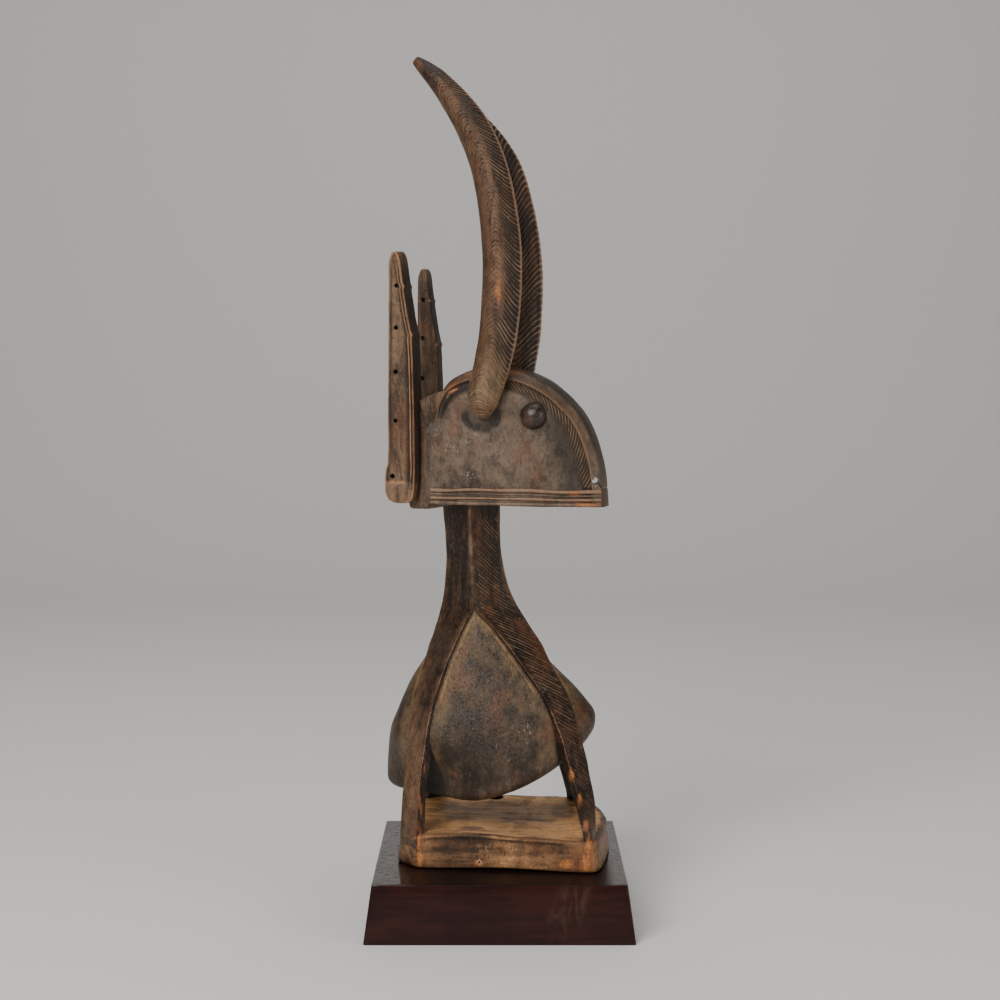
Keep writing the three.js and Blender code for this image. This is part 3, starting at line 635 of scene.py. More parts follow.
def body_rings():
    """The body's rings, from inside the neck down to a rounded lower edge and in over the underside:
    their heights, and the share to which each is drawn in towards the body's middle."""
    top = FORK_HEIGHT + 0.4 * LEG_THICKNESS
    edge = BODY_FLOOR_HEIGHT + BODY_EDGE_ROUND
    angle = np.radians(np.linspace(0, 90, 9))[1:]
    wall = np.linspace(top, edge, 52)
    inward = np.linspace(0.8, 0.1, 7)
    height = np.concatenate([wall, edge - BODY_EDGE_ROUND * np.sin(angle), 0 * inward + BODY_FLOOR_HEIGHT])
    drawn_in = BODY_EDGE_ROUND * (1 - np.cos(angle)) / (PLATE_WIDTH / 2)
    return height, np.concatenate([0 * wall + 1, 1 - drawn_in, inward])


def body_end(height, part, forwards):
    """How far the breast or the rump reaches at each ring. Its lift depends on its own reach, so both
    are worked out several times over."""
    way = np.zeros_like(height)
    for _ in range(6):
        share = BODY_REACH(lifted(height, way) / CHIN_HEIGHT)[:, part]
        way = forwards * share * PLATE_LENGTH / 2
    return way


def body_corner(height, clear, leg, side, end):
    """Where a panel meets one of a leg's two ridges at each ring: a little along the leg's face and
    the given depth in from it. Its lift depends on its own place, as at the ends."""
    level = height
    for _ in range(4):
        a = ridge(leg[0], level, side)
        b = ridge(leg[1], level, side)
        along, outward = leg_face(a, b)
        plan = (b - along * BODY_TUCK if end else a + along * BODY_TUCK) - outward * clear[:, None]
        level = lifted(height, plan[:, 0])
    return plan


def body_skin():
    """The body. Under each leg a ring lies inside the leg's wood. Between two legs it swells out as a
    parabola."""
    height, scale = body_rings()
    depth = mix(0.9 * MM, 1.7 * MM, smooth(FORK_HEIGHT - height, 0, 60 * MM))
    drawn_back = smooth(BODY_DRAWN_BACK_BELOW - height, 0, BODY_DRAWN_BACK_WITHIN)
    swell = BODY_REACH(height / CHIN_HEIGHT)[:, 2] * MM
    swell = swell + BODY_SWELL_PER_CLEAR * BODY_REAR_CORNER_CLEAR * drawn_back

    corners = []
    for leg, corner_clear in zip(LEGS, (BODY_REAR_CORNER_CLEAR, BODY_FRONT_CORNER_CLEAR)):
        clear = depth + corner_clear * drawn_back
        corners.append({
            (side, end): body_corner(height, clear, leg, side, end)
            for side in (NEAR, FAR) for end in (False, True)
        })
    back, fore = corners
    nothing = np.zeros_like(height)
    breast = body_end(height, 0, 1) - (fore[NEAR, True][:, 0] + fore[FAR, True][:, 0]) / 2
    rump = body_end(height, 1, -1) - (back[FAR, True][:, 0] + back[NEAR, True][:, 0]) / 2
    sides = [
        (back[NEAR, False], fore[NEAR, False], nothing, -swell),
        (fore[NEAR, True], fore[FAR, True], breast, nothing),
        (fore[FAR, False], back[FAR, False], nothing, swell),
        (back[FAR, True], back[NEAR, True], rump, nothing),
    ]
    middle = np.array([BODY_MIDDLE, 0])
    points, wear, hollow, dust_and_sheen = [], [], [], []
    for start, end, push_x, push_y in sides:
        push = np.stack([push_x, push_y], -1)[:, None]
        s = np.linspace(0, 1, 37)
        s = s - COLUMN_CROWDING * np.sin(2 * np.pi * s)
        bulge = (4 * s * (1 - s))[None, :, None]
        plan = start[:, None] + (end - start)[:, None] * s[None, :, None] + push * bulge
        plan = middle + (plan - middle) * scale[:, None, None]
        points.append(raised(plan, lifted(height[:, None], plan[..., 0])))
        width = np.linalg.norm(end - start, axis=-1)[:, None]
        from_edge = np.minimum(s, 1 - s)[None] * width
        upper = smooth(height, 80 * MM, 130 * MM)[:, None]
        ends_at_leg = bell(from_edge, 4.2 * MM, 1.1 * MM)
        wear.append(ends_at_leg * mix(0.1, 0.7, upper))
        hollow.append(bell(from_edge, 0, 2.6 * MM, 4) * 0.9)
        dust_and_sheen.append(0.6 * bell(from_edge, 5 * MM, 8 * MM) * mix(0.6, 1, upper))
    points, wear, hollow, dust_and_sheen = joined(points, wear, hollow, dust_and_sheen)
    for x, y, z, radius, deep in BODY_DENTS:
        spot = np.array([x, y, z]) * MM
        away = np.linalg.norm(points - spot, axis=-1)
        points[..., 1] += deep * MM * bell(away, 0, radius * MM)
    return Skin(points, "body", wear=wear, hollow=hollow, dust_and_sheen=dust_and_sheen)


def resampled(corners, count, rounds):
    """A closed outline as points at equal steps along its sides. Running means along them round its
    corners."""
    closed = np.concatenate([corners, corners[:1]])
    way = np.concatenate([[0], np.cumsum(np.linalg.norm(np.diff(closed, axis=0), axis=1))])
    at = np.arange(count) / count * way[-1]
    line = np.stack([np.interp(at, way, closed[:, i]) for i in range(2)], -1)
    for _ in range(rounds):
        line = (np.roll(line, 1, 0) + line + np.roll(line, -1, 0)) / 3
    return line


def plate_outline():
    """The foot plate's outline in plan."""
    x = PLATE_LENGTH / 2
    y = PLATE_WIDTH / 2
    corners = np.array([
        [-x + PLATE_REAR_CUT, -y], [x, -y], [x + 0.6 * PLATE_BOW, -y + 2 * PLATE_FRONT_CUT],
        [x + PLATE_BOW, -0.35 * y], [x + 0.9 * PLATE_BOW, 0.1 * y], [x, y - FAR_CUT_IN],
        [x - 0.35 * FAR_CUT_BACK, y - 0.45 * FAR_CUT_IN], [x - FAR_CUT_BACK, y],
        [-x + PLATE_REAR_CUT, y], [-x, y - PLATE_REAR_CUT], [-x, -y + PLATE_REAR_CUT],
    ])
    return resampled(corners, 230, 3)


def plate_rings(foot, brow):
    """The foot plate's rings, from the middle of its underside out round its edges and in over its
    top: how far each lies in from the outline, and its level. Both edges are rounded by an arc."""
    angle = np.radians(np.linspace(0, 90, 5))
    side = np.linspace(SEAT_GAP + foot, PLATE_THICKNESS - brow, 9)[1:-1]
    inward = np.linspace(brow, 0.94 * PLATE_WIDTH / 2, 24)[1:]
    inset = np.concatenate([
        [0.9 * PLATE_WIDTH / 2], foot * (1 - np.sin(angle)), 0 * side, brow * (1 - np.cos(angle)), inward,
    ])
    level = np.concatenate([
        [SEAT_GAP], SEAT_GAP + foot * (1 - np.cos(angle)), side,
        PLATE_THICKNESS - brow * (1 - np.sin(angle)), 0 * inward + PLATE_THICKNESS,
    ])
    return inset, level


def plate_skin(settings):
    """The foot plate. Its top sags to the middle, arches a little along the near side and carries long
    waves of raised grain along its length, and a seam runs under its near edge."""
    outline = plate_outline()
    inset, level = plate_rings(PLATE_FOOT_ROUND, PLATE_BROW_ROUND)
    flare = PLATE_FLARE * (1 - smooth(level, 2 * MM, 0.8 * PLATE_THICKNESS))
    scale = 1 + (flare - inset) / (PLATE_WIDTH / 2)
    plan = outline[None] * scale[:, None, None]
    x, y = plan[..., 0], plan[..., 1]
    rim = inset[:, None] + 0 * x
    top = (level[:, None] > PLATE_THICKNESS - 0.9 * PLATE_BROW_ROUND) * smooth(rim, 0, 4 * MM)
    wander = 3 * MM * np.sin(x / (31 * MM) + 0.8)
    grain = 0.5 * np.sin((y + wander) / (1.35 * MM)) + 0.5 * np.sin((y - 0.6 * wander) / (2.3 * MM) + 2)
    sag = 1.8 * MM * smooth(rim, 3 * MM, 30 * MM)
    front = 1 - smooth(y, -60 * MM, -34 * MM)
    arch = 2.4 * MM * bell(x, -17 * MM, 25 * MM) - 0.9 * MM * smooth(x, 20 * MM, 50 * MM)
    fade = smooth(level[:, None], 0.6 * PLATE_THICKNESS, PLATE_THICKNESS)
    z = level[:, None] - sag * fade + top * settings.grain_depth * grain + arch * front * fade
    foot = 1 - smooth(level[:, None], 0, 0.3 * PLATE_THICKNESS)
    z = z + 0.7 * MM * foot * (1 + np.sin(x / (17 * MM) + 1.2)) * (rim < 6 * MM)
    seam = bell(level[:, None], PLATE_THICKNESS - 2.6 * MM, 0.9 * MM) * (rim < 1 * MM)
    seam = seam * front * (1 - smooth(np.abs(x), 44 * MM, 54 * MM))
    plan = plan * (1 - 0.011 * seam)[..., None]
    turn = np.abs(np.linalg.norm(np.roll(outline, 3, 0) + np.roll(outline, -3, 0) - 2 * outline, axis=1))
    corner = (np.clip(turn / (3.6 * MM), 0, 1) ** 3)[None] * smooth(level[:, None], 0, 4 * MM)
    edge = bell(rim, 0.6 * MM, 1.6 * MM)
    wear = np.clip(0.12 * edge + 0.4 * corner * (rim < 1.2 * MM), 0, 1)
    hollow = np.maximum(0.9 * (1 - smooth(level[:, None], 0, 3.5 * MM)), seam)
    face = front * (rim < 1.5 * MM)
    hollow = np.maximum(hollow, 0.55 * face * bell(x, -30 * MM, 17 * MM))
    patch = smooth(ripple(raised(plan, z), 34 * MM, 1.7), -0.5, 0.4)
    # The top is painted pale: partly dry, dusty wood, partly painted light on the top face
    dust_and_sheen = top * smooth(rim, 1.5 * MM, 6 * MM) * mix(0.45, 1, patch)
    dust_and_sheen = dust_and_sheen + 0.28 * face * bell(x, 9 * MM, 20 * MM)
    return Skin(raised(plan, z), "plate", wear=wear, hollow=hollow, dust_and_sheen=dust_and_sheen)


def bore_skin(radius, low, high, part, place, sides=20, **values):
    """A round rod from one point to another, to bore a hole with."""
    low, high = np.array(low), np.array(high)
    along = unit(high - low)
    across = unit(np.cross(along, [1, 0, 0]))
    third = np.cross(along, across)
    angle = np.linspace(0, 2 * np.pi, sides, endpoint=False)[:, None]
    ring = radius * (np.cos(angle) * across + np.sin(angle) * third)
    ends = np.stack([mix(low, high, share) + ring for share in np.linspace(0, 1, 7)])
    return Skin(ends, part, place, **values)


# A horn's centre line, as shares of its rise. Knots: share of the way along, forward, up, out to the
# side, and its thickness as a share of the full thickness.
HORN_LINE = through([
    [0, 0.075, 0.0, 0.1, 0.34], [0.025, 0.077, 0.03, 0.111, 0.7], [0.055, 0.081, 0.062, 0.115, 0.82],
    [0.12, 0.099, 0.128, 0.11, 0.9], [0.2, 0.115, 0.215, 0.101, 0.95], [0.31, 0.125, 0.35, 0.09, 0.98],
    [0.41, 0.122, 0.457, 0.083, 0.98], [0.52, 0.107, 0.572, 0.075, 0.95], [0.64, 0.075, 0.695, 0.064, 0.9],
    [0.74, 0.031, 0.79, 0.052, 0.84], [0.83, -0.024, 0.868, 0.041, 0.72], [0.91, -0.084, 0.937, 0.031, 0.54],
    [0.96, -0.127, 0.975, 0.025, 0.4], [1, -0.158, 1, 0.021, 0.24],
])

# The head's outline from its back edge at the chin line over the crown to the lip. Knots: share of
# the way, forward, up, as shares of the head's length and height.
CROWN = through([
    [0, 0, 0], [0.09, 0.001, 0.23], [0.19, 0.008, 0.49], [0.25, 0.02, 0.64], [0.31, 0.045, 0.79],
    [0.37, 0.1, 0.895], [0.43, 0.19, 0.955], [0.49, 0.3, 0.99], [0.54, 0.4, 0.99],
    [0.6, 0.51, 0.965], [0.66, 0.62, 0.91], [0.71, 0.7, 0.847], [0.76, 0.775, 0.762],
    [0.81, 0.84, 0.67], [0.86, 0.89, 0.555], [0.91, 0.93, 0.415], [0.955, 0.958, 0.27],
    [0.985, 0.972, 0.12], [1, 0.978, 0],
])
# Half the head's width along it, narrowing from the back to the snout
HEAD_HALF = through([
    [HEAD_BACK + way * HEAD_LENGTH, mix(SNOUT_HALF, HEAD_BACK_HALF, width)]
    for way, width in ((0, 1), (0.31, 0.91), (0.62, 0.66), (0.87, 0.26), (1, 0))
])

# Half the thickness from the crest inwards: crest, slanted rim, the hollow inside it, the flat side.
# Knots: share of the way in from the outline, share of the thickness beyond the crest.
RIM = through([
    [0, 0], [0.012, 0.3], [0.026, 0.44], [0.055, 0.66], [0.09, 0.86], [0.1, 0.84], [0.117, 0.79],
    [0.156, 0.86], [0.21, 0.97], [0.27, 1], [1, 1],
])


def head_point(forward, up):
    """Points of the head's side view from their shares of the head's length and height."""
    return np.stack([HEAD_BACK + forward * HEAD_LENGTH, CHIN_HEIGHT + up * HEAD_HEIGHT], -1)


def head_skin(settings):
    """The head block: rings drawn from its outline in towards one point of its side, with the half
    thickness of the rim's profile, from the near side over the crest to the far side."""
    share = np.linspace(0, 1, 236)
    crown = CROWN(share)
    low = np.linspace(0.945, 0.03, 34)
    forward = np.concatenate([crown[:, 0], low])
    up = np.concatenate([crown[:, 1], 0 * low])
    bevel = np.concatenate([smooth(share, 0.2, 0.33), 0 * low])
    outline = head_point(forward, up)
    steps = np.linalg.norm(np.diff(outline, axis=0, prepend=outline[:1]), axis=1)
    way = np.cumsum(steps)
    focus = head_point(*HEAD_FOCUS)
    insets = np.concatenate([
        [0, 0.006, 0.012, 0.019, 0.026, 0.04, 0.055, 0.07, 0.08, 0.09, 0.1, 0.108, 0.117, 0.13, 0.143],
        [0.156, 0.175, 0.21, 0.24], np.linspace(0.27, 0.95, 15),
    ])
    horn_root = np.array([HORN_LINE(0)[0] * HORN_RISE - 2.5 * MM, HORN_ROOT - 0.5 * MM])
    spread = insets[:, None]
    spot = outline[None] + (focus - outline)[None] * spread[..., None]
    x, z = np.moveaxis(spot, -1, 0)
    half = HEAD_HALF(x)[..., 0]
    rim = CREST_HALF + (half - CREST_HALF) * RIM(spread)[..., 0]
    y = half + (np.minimum(rim, half) - half) * bevel
    away = np.linalg.norm((spot - horn_root) / SOCKET_HALF, axis=-1)
    lower = 1 - smooth(z, HORN_ROOT - 1 * MM, HORN_ROOT + 8 * MM)
    ring = bell(away, 1, 0.24) * smooth(spread, 0.05, 0.15) * lower
    points = stack(x, y - SOCKET_DEPTH * ring, z)

    crest = 1 - smooth(spread, 0.014, 0.028)
    rim_face = smooth(spread, 0.02, 0.032) * (1 - smooth(spread, 0.088, 0.1))
    light_line = bell(spread, 0.088, 0.007)
    forehead = bell(x, 35 * MM, 50 * MM) * bell(z, HORN_ROOT, 38 * MM)
    strip = smooth(spread, 0.094, 0.102) * (1 - smooth(spread, 0.155, 0.22))
    cheek = 0.62 * smooth(x, 40 * MM, 80 * MM) * (1 - smooth(spread, 0.3, 0.5))
    cheek = cheek * smooth(spread, 0.12, 0.2) + 0.34 * forehead
    behind = 0.5 * (1 - smooth(x, HEAD_BACK + 1 * MM, HEAD_BACK + 8 * MM))
    sunk = 0.3 * (1 - smooth(away, 0.9, 1.25))
    # Painted shade: the sunken band inside the rim (strip) and the socket round the horn's root (ring and
    # sunk) are darkened
    dark = 0.9 * strip * bevel + 0.65 * ring + sunk + cheek + behind
    dark = dark + (0.5 * crest + 0.42 * rim_face) * bevel
    brow = np.where(up > 0, forward, 0)
    depth = np.linalg.norm(outline - focus, axis=-1)[None] * spread
    values = {
        "wear": np.clip((0.4 * rim_face + 0.6 * light_line) * bevel + 0.26 * forehead, 0, 1),
        "hollow": np.clip(dark, 0, 1),
        "dust_and_sheen": 0.3 * bell(spread, 0.05, 0.01) * bevel,
        "hatch": strip * smooth(brow, 0.42, 0.5)[None],
        "way": (0.9 * depth - 0.5 * way[None]) / settings.head_stroke_pitch,
    }
    values = {name: np.concatenate([value[::-1], value]) for name, value in values.items()}
    return Skin(np.concatenate([points[::-1] * (1, NEAR, 1), points]), "head", on_neck, **values)


def nape_skin():
    """The back of the head, a little narrower than its sides, where the ears are rooted: a flat
    outline in side view carried across, with its edges rounded."""
    outline = np.array([
        [HEAD_BACK - NUCHAL_LENGTH, CHIN_HEIGHT - NAPE_DROP],
        [HEAD_BACK + 1 * MM, CHIN_HEIGHT - NAPE_DROP],
        [HEAD_BACK + 0.2 * HEAD_LENGTH, CHIN_HEIGHT + 1 * MM],
        [HEAD_BACK + 0.2 * HEAD_LENGTH, CHIN_HEIGHT + 0.85 * HEAD_HEIGHT],
        [HEAD_BACK + 0.03 * HEAD_LENGTH, CHIN_HEIGHT + 0.8 * HEAD_HEIGHT],
        [HEAD_BACK - NUCHAL_LENGTH, CHIN_HEIGHT + 0.71 * HEAD_HEIGHT],
    ])
    line = resampled(outline, 120, 2)
    middle = outline.mean(0)
    half = HEAD_BACK_HALF - 4 * MM
    angle = np.radians(np.linspace(-90, 90, 13))
    edge = 1.5 * MM
    across = np.sign(np.sin(angle)) * (half - edge) + edge * np.sin(angle)
    drawn = edge * (1 - np.cos(angle))
    across[6] = 0
    rings = []
    for y, inset in zip(across, drawn):
        plan = line + (middle - line) * inset / (30 * MM)
        rings.append(stack(plan[:, 0], y, plan[:, 1]))
    core = middle + 0.3 * (line - middle)
    near, far = (stack(core[:, 0], side * half, core[:, 1]) for side in (NEAR, FAR))
    return Skin(np.stack([near, *rings, far]), "ears", on_neck, hollow=0.22)


# The bands along the jaw, from the lip up: height above the chin line, own height, relief, how much
# of the wave the band follows and how worn it is
JAW_BANDS = (
    (0, 3 * MM, 1.5 * MM, 0, 0.3),
    (3.6 * MM, 2.3 * MM, 1.5 * MM, 0.5, 0.8),
    (6.6 * MM, 1.6 * MM, 0.8 * MM, 0.8, 0.2),
    (8.6 * MM, 3 * MM, 1.8 * MM, 1, 1),
)


def jaw_skin(above, height, relief, sway, worn):
    """A raised band along both sides of the jaw: a section with half-round sides, carried in soft
    waves from the back of the cheek to the snout, where it sinks into the wood."""
    x = np.linspace(HEAD_BACK + 0.035 * HEAD_LENGTH, HEAD_BACK + 0.965 * HEAD_LENGTH, 110)[:, None]
    half = HEAD_HALF(x[:, 0])[:, :1]
    sink = smooth(x, HEAD_BACK + 0.9 * HEAD_LENGTH, HEAD_BACK + 0.97 * HEAD_LENGTH)
    angle = np.radians(np.linspace(-90, 90, 9))[None]
    out = half - 1 * MM + (relief + 1 * MM) * np.cos(angle) ** 0.6 * (1 - 0.6 * sink) - 1.2 * MM * sink
    wave = 0.9 * MM * bell(x, 32 * MM, 30 * MM) + 0.25 * MM * np.sin(x / (6.5 * MM))
    rise = CHIN_HEIGHT + above + height / 2 * (1 + np.sin(angle)) + sway * wave
    near = stack(x + 0 * out, -out, rise)
    far = stack(x + 0 * out, out[:, ::-1], rise[:, ::-1])
    ridge_line = np.broadcast_to(np.cos(angle) ** 1.6, out.shape)
    ridge_line = np.concatenate([ridge_line, ridge_line], 1)
    return Skin(
        np.concatenate([near, far], 1), "head", on_neck, wear=(0.2 + 0.55 * worn) * ridge_line,
        dust_and_sheen=(0.2 + 0.9 * worn) * ridge_line, hollow=0.35 * (1 - ridge_line) * (1 - 0.7 * sink),
    )


def eye_skin(settings, side):
    """An eye: a low dome with its pole pointing out of the head's side."""
    spot = head_point(*EYE_PLACE)
    radius = settings.eye_diameter / 2
    lift = np.radians(np.linspace(-80, 88, 26))[:, None]
    turn = np.linspace(0, 2 * np.pi, 40, endpoint=False)[None]
    half = float(HEAD_HALF(spot[0])[0])
    x = spot[0] + radius * np.cos(lift) * np.cos(turn)
    z = spot[1] + radius * np.cos(lift) * np.sin(turn)
    y = side * (half - 1 * MM + 0.85 * radius * np.sin(lift)) + 0 * turn
    return Skin(np.stack([x, y, z], -1), "eyes", on_neck, wear=0.2 * smooth(lift, 0.5, 1.4))


# An ear's edges in side view, behind the neck's axis. Knots: share of the ear's length from the
# bottom, rear edge and front ridge as shares of the ear's length.
EAR_EDGES = through([
    [0, -0.266, -0.222], [0.012, -0.29, -0.192], [0.045, -0.305, -0.181], [0.13, -0.303, -0.175],
    [0.16, -0.293, -0.175], [0.41, -0.29, -0.178], [0.66, -0.287, -0.187], [0.75, -0.286, -0.204],
    [0.88, -0.284, -0.225], [0.96, -0.283, -0.236], [0.985, -0.279, -0.243], [1, -0.271, -0.254],
])


def ear_section(rear, front, carved):
    """An ear's section, walked round from the rear edge over the outer face, with a channel between a
    thin border and a doubled front border, then back over the front and the inner face. For each
    point: forward, how far in from the outer face, how worn, how bright where it shines, how dark;
    on the front face that darkness is painted shade."""
    low = rear + 1.9 * MM
    high = front - EAR_BORDER
    channel = zip(np.linspace(0, 1, 9), (0.6, 0.3, 0, 0, 0, 0, 0.35, 0.7, 0.9))
    floor = EAR_CHANNEL_DEPTH * carved
    groove = 0.8 * MM * carved
    back = EAR_THICKNESS
    return [
        (rear, 2.2 * MM, 0, 0, 0),
        (rear + 0.15 * MM, 0.9 * MM, 0.25, 0, 0),
        (rear + 0.6 * MM, 0.25 * MM, 0.4, 0, 0),
        (rear + 1.1 * MM, 0, 0.35, 0, 0),
        *[
            (mix(low, high, t), floor - 0.25 * MM * carved * (2 * t - 1) ** 2, 0, 0, dark)
            for t, dark in channel
        ],
        (high + 0.5 * MM, 0.15 * MM, 0, 0.75, 0),
        (high + 1.1 * MM, 0, 0, 1, 0),
        (high + 1.6 * MM, groove, 0, 0.2, 0.8),
        (high + 2.1 * MM, groove, 0, 0, 0.7),
        (high + 2.6 * MM, 0, 0.2, 0, 0.2),
        (front - 0.35 * MM, 0, 0.35, 0, 0),
        (front + 0.05 * MM, 0.4 * MM, 0.35, 0, 0),
        # The front face, darkened as painted shade
        *[
            (front + mix(0.1, 1.3, t) * MM, mix(1.2 * MM, back - 0.8 * MM, t), 0, 0, 0.85)
            for t in np.linspace(0, 1, 6)
        ],
        *[(mix(front + 0.8 * MM, rear + 1.6 * MM, t), back, 0, 0, 0.3) for t in np.linspace(0, 1, 7)],
        *[
            (rear + mix(0.9, 0.1, t) * MM, mix(back - 0.7 * MM, 3.2 * MM, t), 0, 0, 0.3)
            for t in np.linspace(0, 1, 5)
        ],
    ]


def ear_skin(side, length, width_share):
    """An ear: a tall board that tapers upwards. Its section is carried up between the two edges, with
    two small steps in the front one, and its top slopes."""
    share = np.concatenate([[0, 0.004, 0.012, 0.024, 0.045], np.linspace(0.06, 0.97, 110), [0.98, 0.99, 1]])
    s = share[:, None]
    rear, front = np.moveaxis(EAR_EDGES(s) * NEAR_EAR_LENGTH, -1, 0)
    steps = sum(bell(s, place, 0.008) for place in EAR_STEPS)
    front = mix(rear, front, width_share) + 0.8 * MM * steps
    carved = smooth(s, 0.068, 0.084) * (1 - smooth(s, 0.9, 0.975))
    section = ear_section(rear, front, carved)
    x, inset, worn, bright, dark = (
        np.concatenate([np.broadcast_to(value, s.shape) for value in column], 1) for column in zip(*section)
    )
    z = EAR_BOTTOM + s * length + 0.3 * smooth(s, 0.9, 1) * (x - front)
    long = smooth(s, 0.08, 0.14) * (1 - 0.6 * smooth(s, 0.64, 0.68)) * (1 - 0.5 * smooth(s, 0.9, 1))
    tip = 0.3 * smooth(s, 0.93, 1) + 0.3 * (1 - smooth(s, 0.03, 0.07))
    outer = np.arange(len(section)) < EAR_OUTER_POINTS
    wear = worn + bright * long + tip + 0.8 * bell(s, 0.082, 0.008) * outer + 0.5 * steps * ~outer
    return Skin(
        stack(x, side * (EAR_OUTER_REACH - inset), z), "ears", on_neck,
        wear=np.clip(wear, 0, 1), hollow=dark * mix(0.6, 1, carved),
    )


def horn_centre(share, side):
    """Points of a horn's centre line in the head's frame. The far horn ends sooner and curls more."""
    reach = FAR_HORN_SHARE if side == FAR else 1
    forward, up, out, _ = np.moveaxis(HORN_LINE(share * reach), -1, 0)
    curl = FAR_HORN_CURL * smooth(share, 0.62, 1) * (side == FAR)
    return np.stack([forward - curl, side * out, up - 0.4 * curl], -1) * HORN_RISE


def horn_frame(share, side):
    """Along a horn: the points and half thickness of its centre line, and the directions along it,
    out to the side and forward, at right angles to each other."""
    step = 0.01
    ahead = horn_centre(np.minimum(share + step, 1), side)
    tangent = unit(ahead - horn_centre(np.maximum(share - step, 0), side))
    outward = unit(np.array([0, side, 0]) - tangent * (side * tangent[:, 1:2]))
    forward = np.cross(outward, tangent)
    forward *= np.sign(forward[:, :1])
    thick = HORN_LINE(share * (FAR_HORN_SHARE if side == FAR else 1))[:, 3] * HORN_THICKNESS
    thick = thick * (1 - FAR_HORN_TAPER * smooth(share, 0.62, 1) * (side == FAR))
    return horn_centre(share, side), (thick / 2)[:, None], tangent, outward, forward


def horn_values(s, sine, outer, carved, cut, worn_side, stroke_shadow):
    """What the horn's points carry. Its front edge, its tip and its rubbed side are worn, the flank beside
    that edge and the inner side are dark with painted shade, a painted shadow runs beside each stroke,
    and the strokes are fainter towards the rear."""
    edge = bell(sine, 1, 0.022)
    tip = 0.3 * smooth(s, 0.9, 0.97)
    rear_side = 0.2 * smooth(-sine, 0.6, 0.85) * outer
    rear_third = smooth(-sine, 0.1, 0.5) * outer * carved
    root = (1 - smooth(s, 0.04, 0.22)) * outer
    end = 0.5 * (1 - smooth(s, 0.004, 0.015))
    # Painted shade: the flank beside the front edge, the inner side and the upper horn
    shade = smooth(sine, 0.25, 0.55) * (1 - edge) * smooth(s, 0.04, 0.16)
    shade = np.maximum(0.85 * shade, 0.55 * (1 - outer)) + 0.15 * smooth(s, 0.55, 0.8)
    bright = np.clip(mix(0.42, 1, smooth(sine, -0.35, 0.3)) + 0.8 * root, 0, 1.3)
    dark = np.maximum(shade * (1 - 0.5 * tip) * (1 - 0.5 * root), end) * (1 - cut)
    dark = dark + 0.7 * cut * np.clip(1 - bright, 0, 1) + 0.5 * stroke_shadow * (1 - edge)
    values = {
        "wear": 0.9 * edge + 0.2 * worn_side + tip + rear_side, "hollow": dark, "line": cut * bright,
        "hatch": root * carved + 0.3 * rear_third, "dust_and_sheen": 0.5 * root,
    }
    return {name: np.clip(value, 0, 1) for name, value in values.items()}


def horn_skin(settings, side):
    """A horn: ovals along its centre line. Each ring leans, so that it runs up to the middle of the
    horn's outer side and down to the middle of its inner side, and every fifth ring is cut in by the
    strokes' depth, less where the outer side has been worn smooth."""
    fine = horn_centre(np.linspace(0, 1, 400), side)
    length = np.linalg.norm(np.diff(fine, axis=0), axis=1).sum()
    pitch = settings.horn_stroke_pitch * (FAR_HORN_PITCH_SHARE if side == FAR else 1)
    each = len(HORN_STROKE_RINGS)
    rows = int(round(length / pitch)) * each
    ring = np.arange(rows + 1)
    share = ring / rows
    middle, radius, tangent, outward, forward = horn_frame(share, side)
    angle = np.linspace(0, 2 * np.pi, HORN_SIDES, endpoint=False)[None]
    sine, cosine = np.sin(angle), np.cos(angle)
    s = share[:, None]
    stroke = np.floor((ring[:, None] + 2) / each)
    cut_row = HORN_STROKE_RINGS[ring % each][:, None]
    carved = smooth(s, 0.005, 0.015) * (1 - smooth(s, 0.88, 0.93))
    outer = smooth(cosine, -0.1, 0.2)
    middle_band = bell(sine, -0.08, 0.42, 4) * outer
    patch = smooth(ripple(middle[:, None] + 0 * angle[..., None], 60 * MM, 3.1), -0.6, 0.2)
    worn_side = middle_band * smooth(s, 0.16, 0.28) * (1 - smooth(s, 0.52, 0.72)) * mix(0.6, 1, patch)
    cut = cut_row * carved * mix(0.6, 1, chance(stroke, 6.4)) * (1 - 0.35 * worn_side)
    arris = 0.03 * bell(sine, 1, 0.06) * (1 - smooth(s, 0.8, 0.92))
    depth = settings.horn_stroke_depth * (1 - 0.6 * smooth(np.abs(sine), 0.8, 1))
    size = radius * (1 + arris) - depth * cut
    peak = (1 - np.sqrt(sine ** 2 + 0.07)) * np.tanh(4 * cosine)
    lean = HORN_SLANT * radius * smooth(s, 0, 0.06) * (1 - smooth(s, 0.86, 1)) * peak
    points = middle[:, None] + forward[:, None] * (size * sine)[..., None]
    points += outward[:, None] * (size * HORN_FLATNESS * cosine)[..., None]
    points += tangent[:, None] * lean[..., None]
    points[..., 2] += HORN_ROOT - 0.4 * MM * smooth(s, 0.8, 1)
    # A painted shadow beside each stroke
    stroke_shadow = HORN_STROKE_SHADOW_RINGS[ring % each][:, None] * carved * outer
    values = horn_values(s, sine, outer, carved, cut, worn_side, stroke_shadow)
    return Skin(points, "horns", on_neck, way=0.4 * ring[:, None] + 0.7 + 0 * sine, **values)


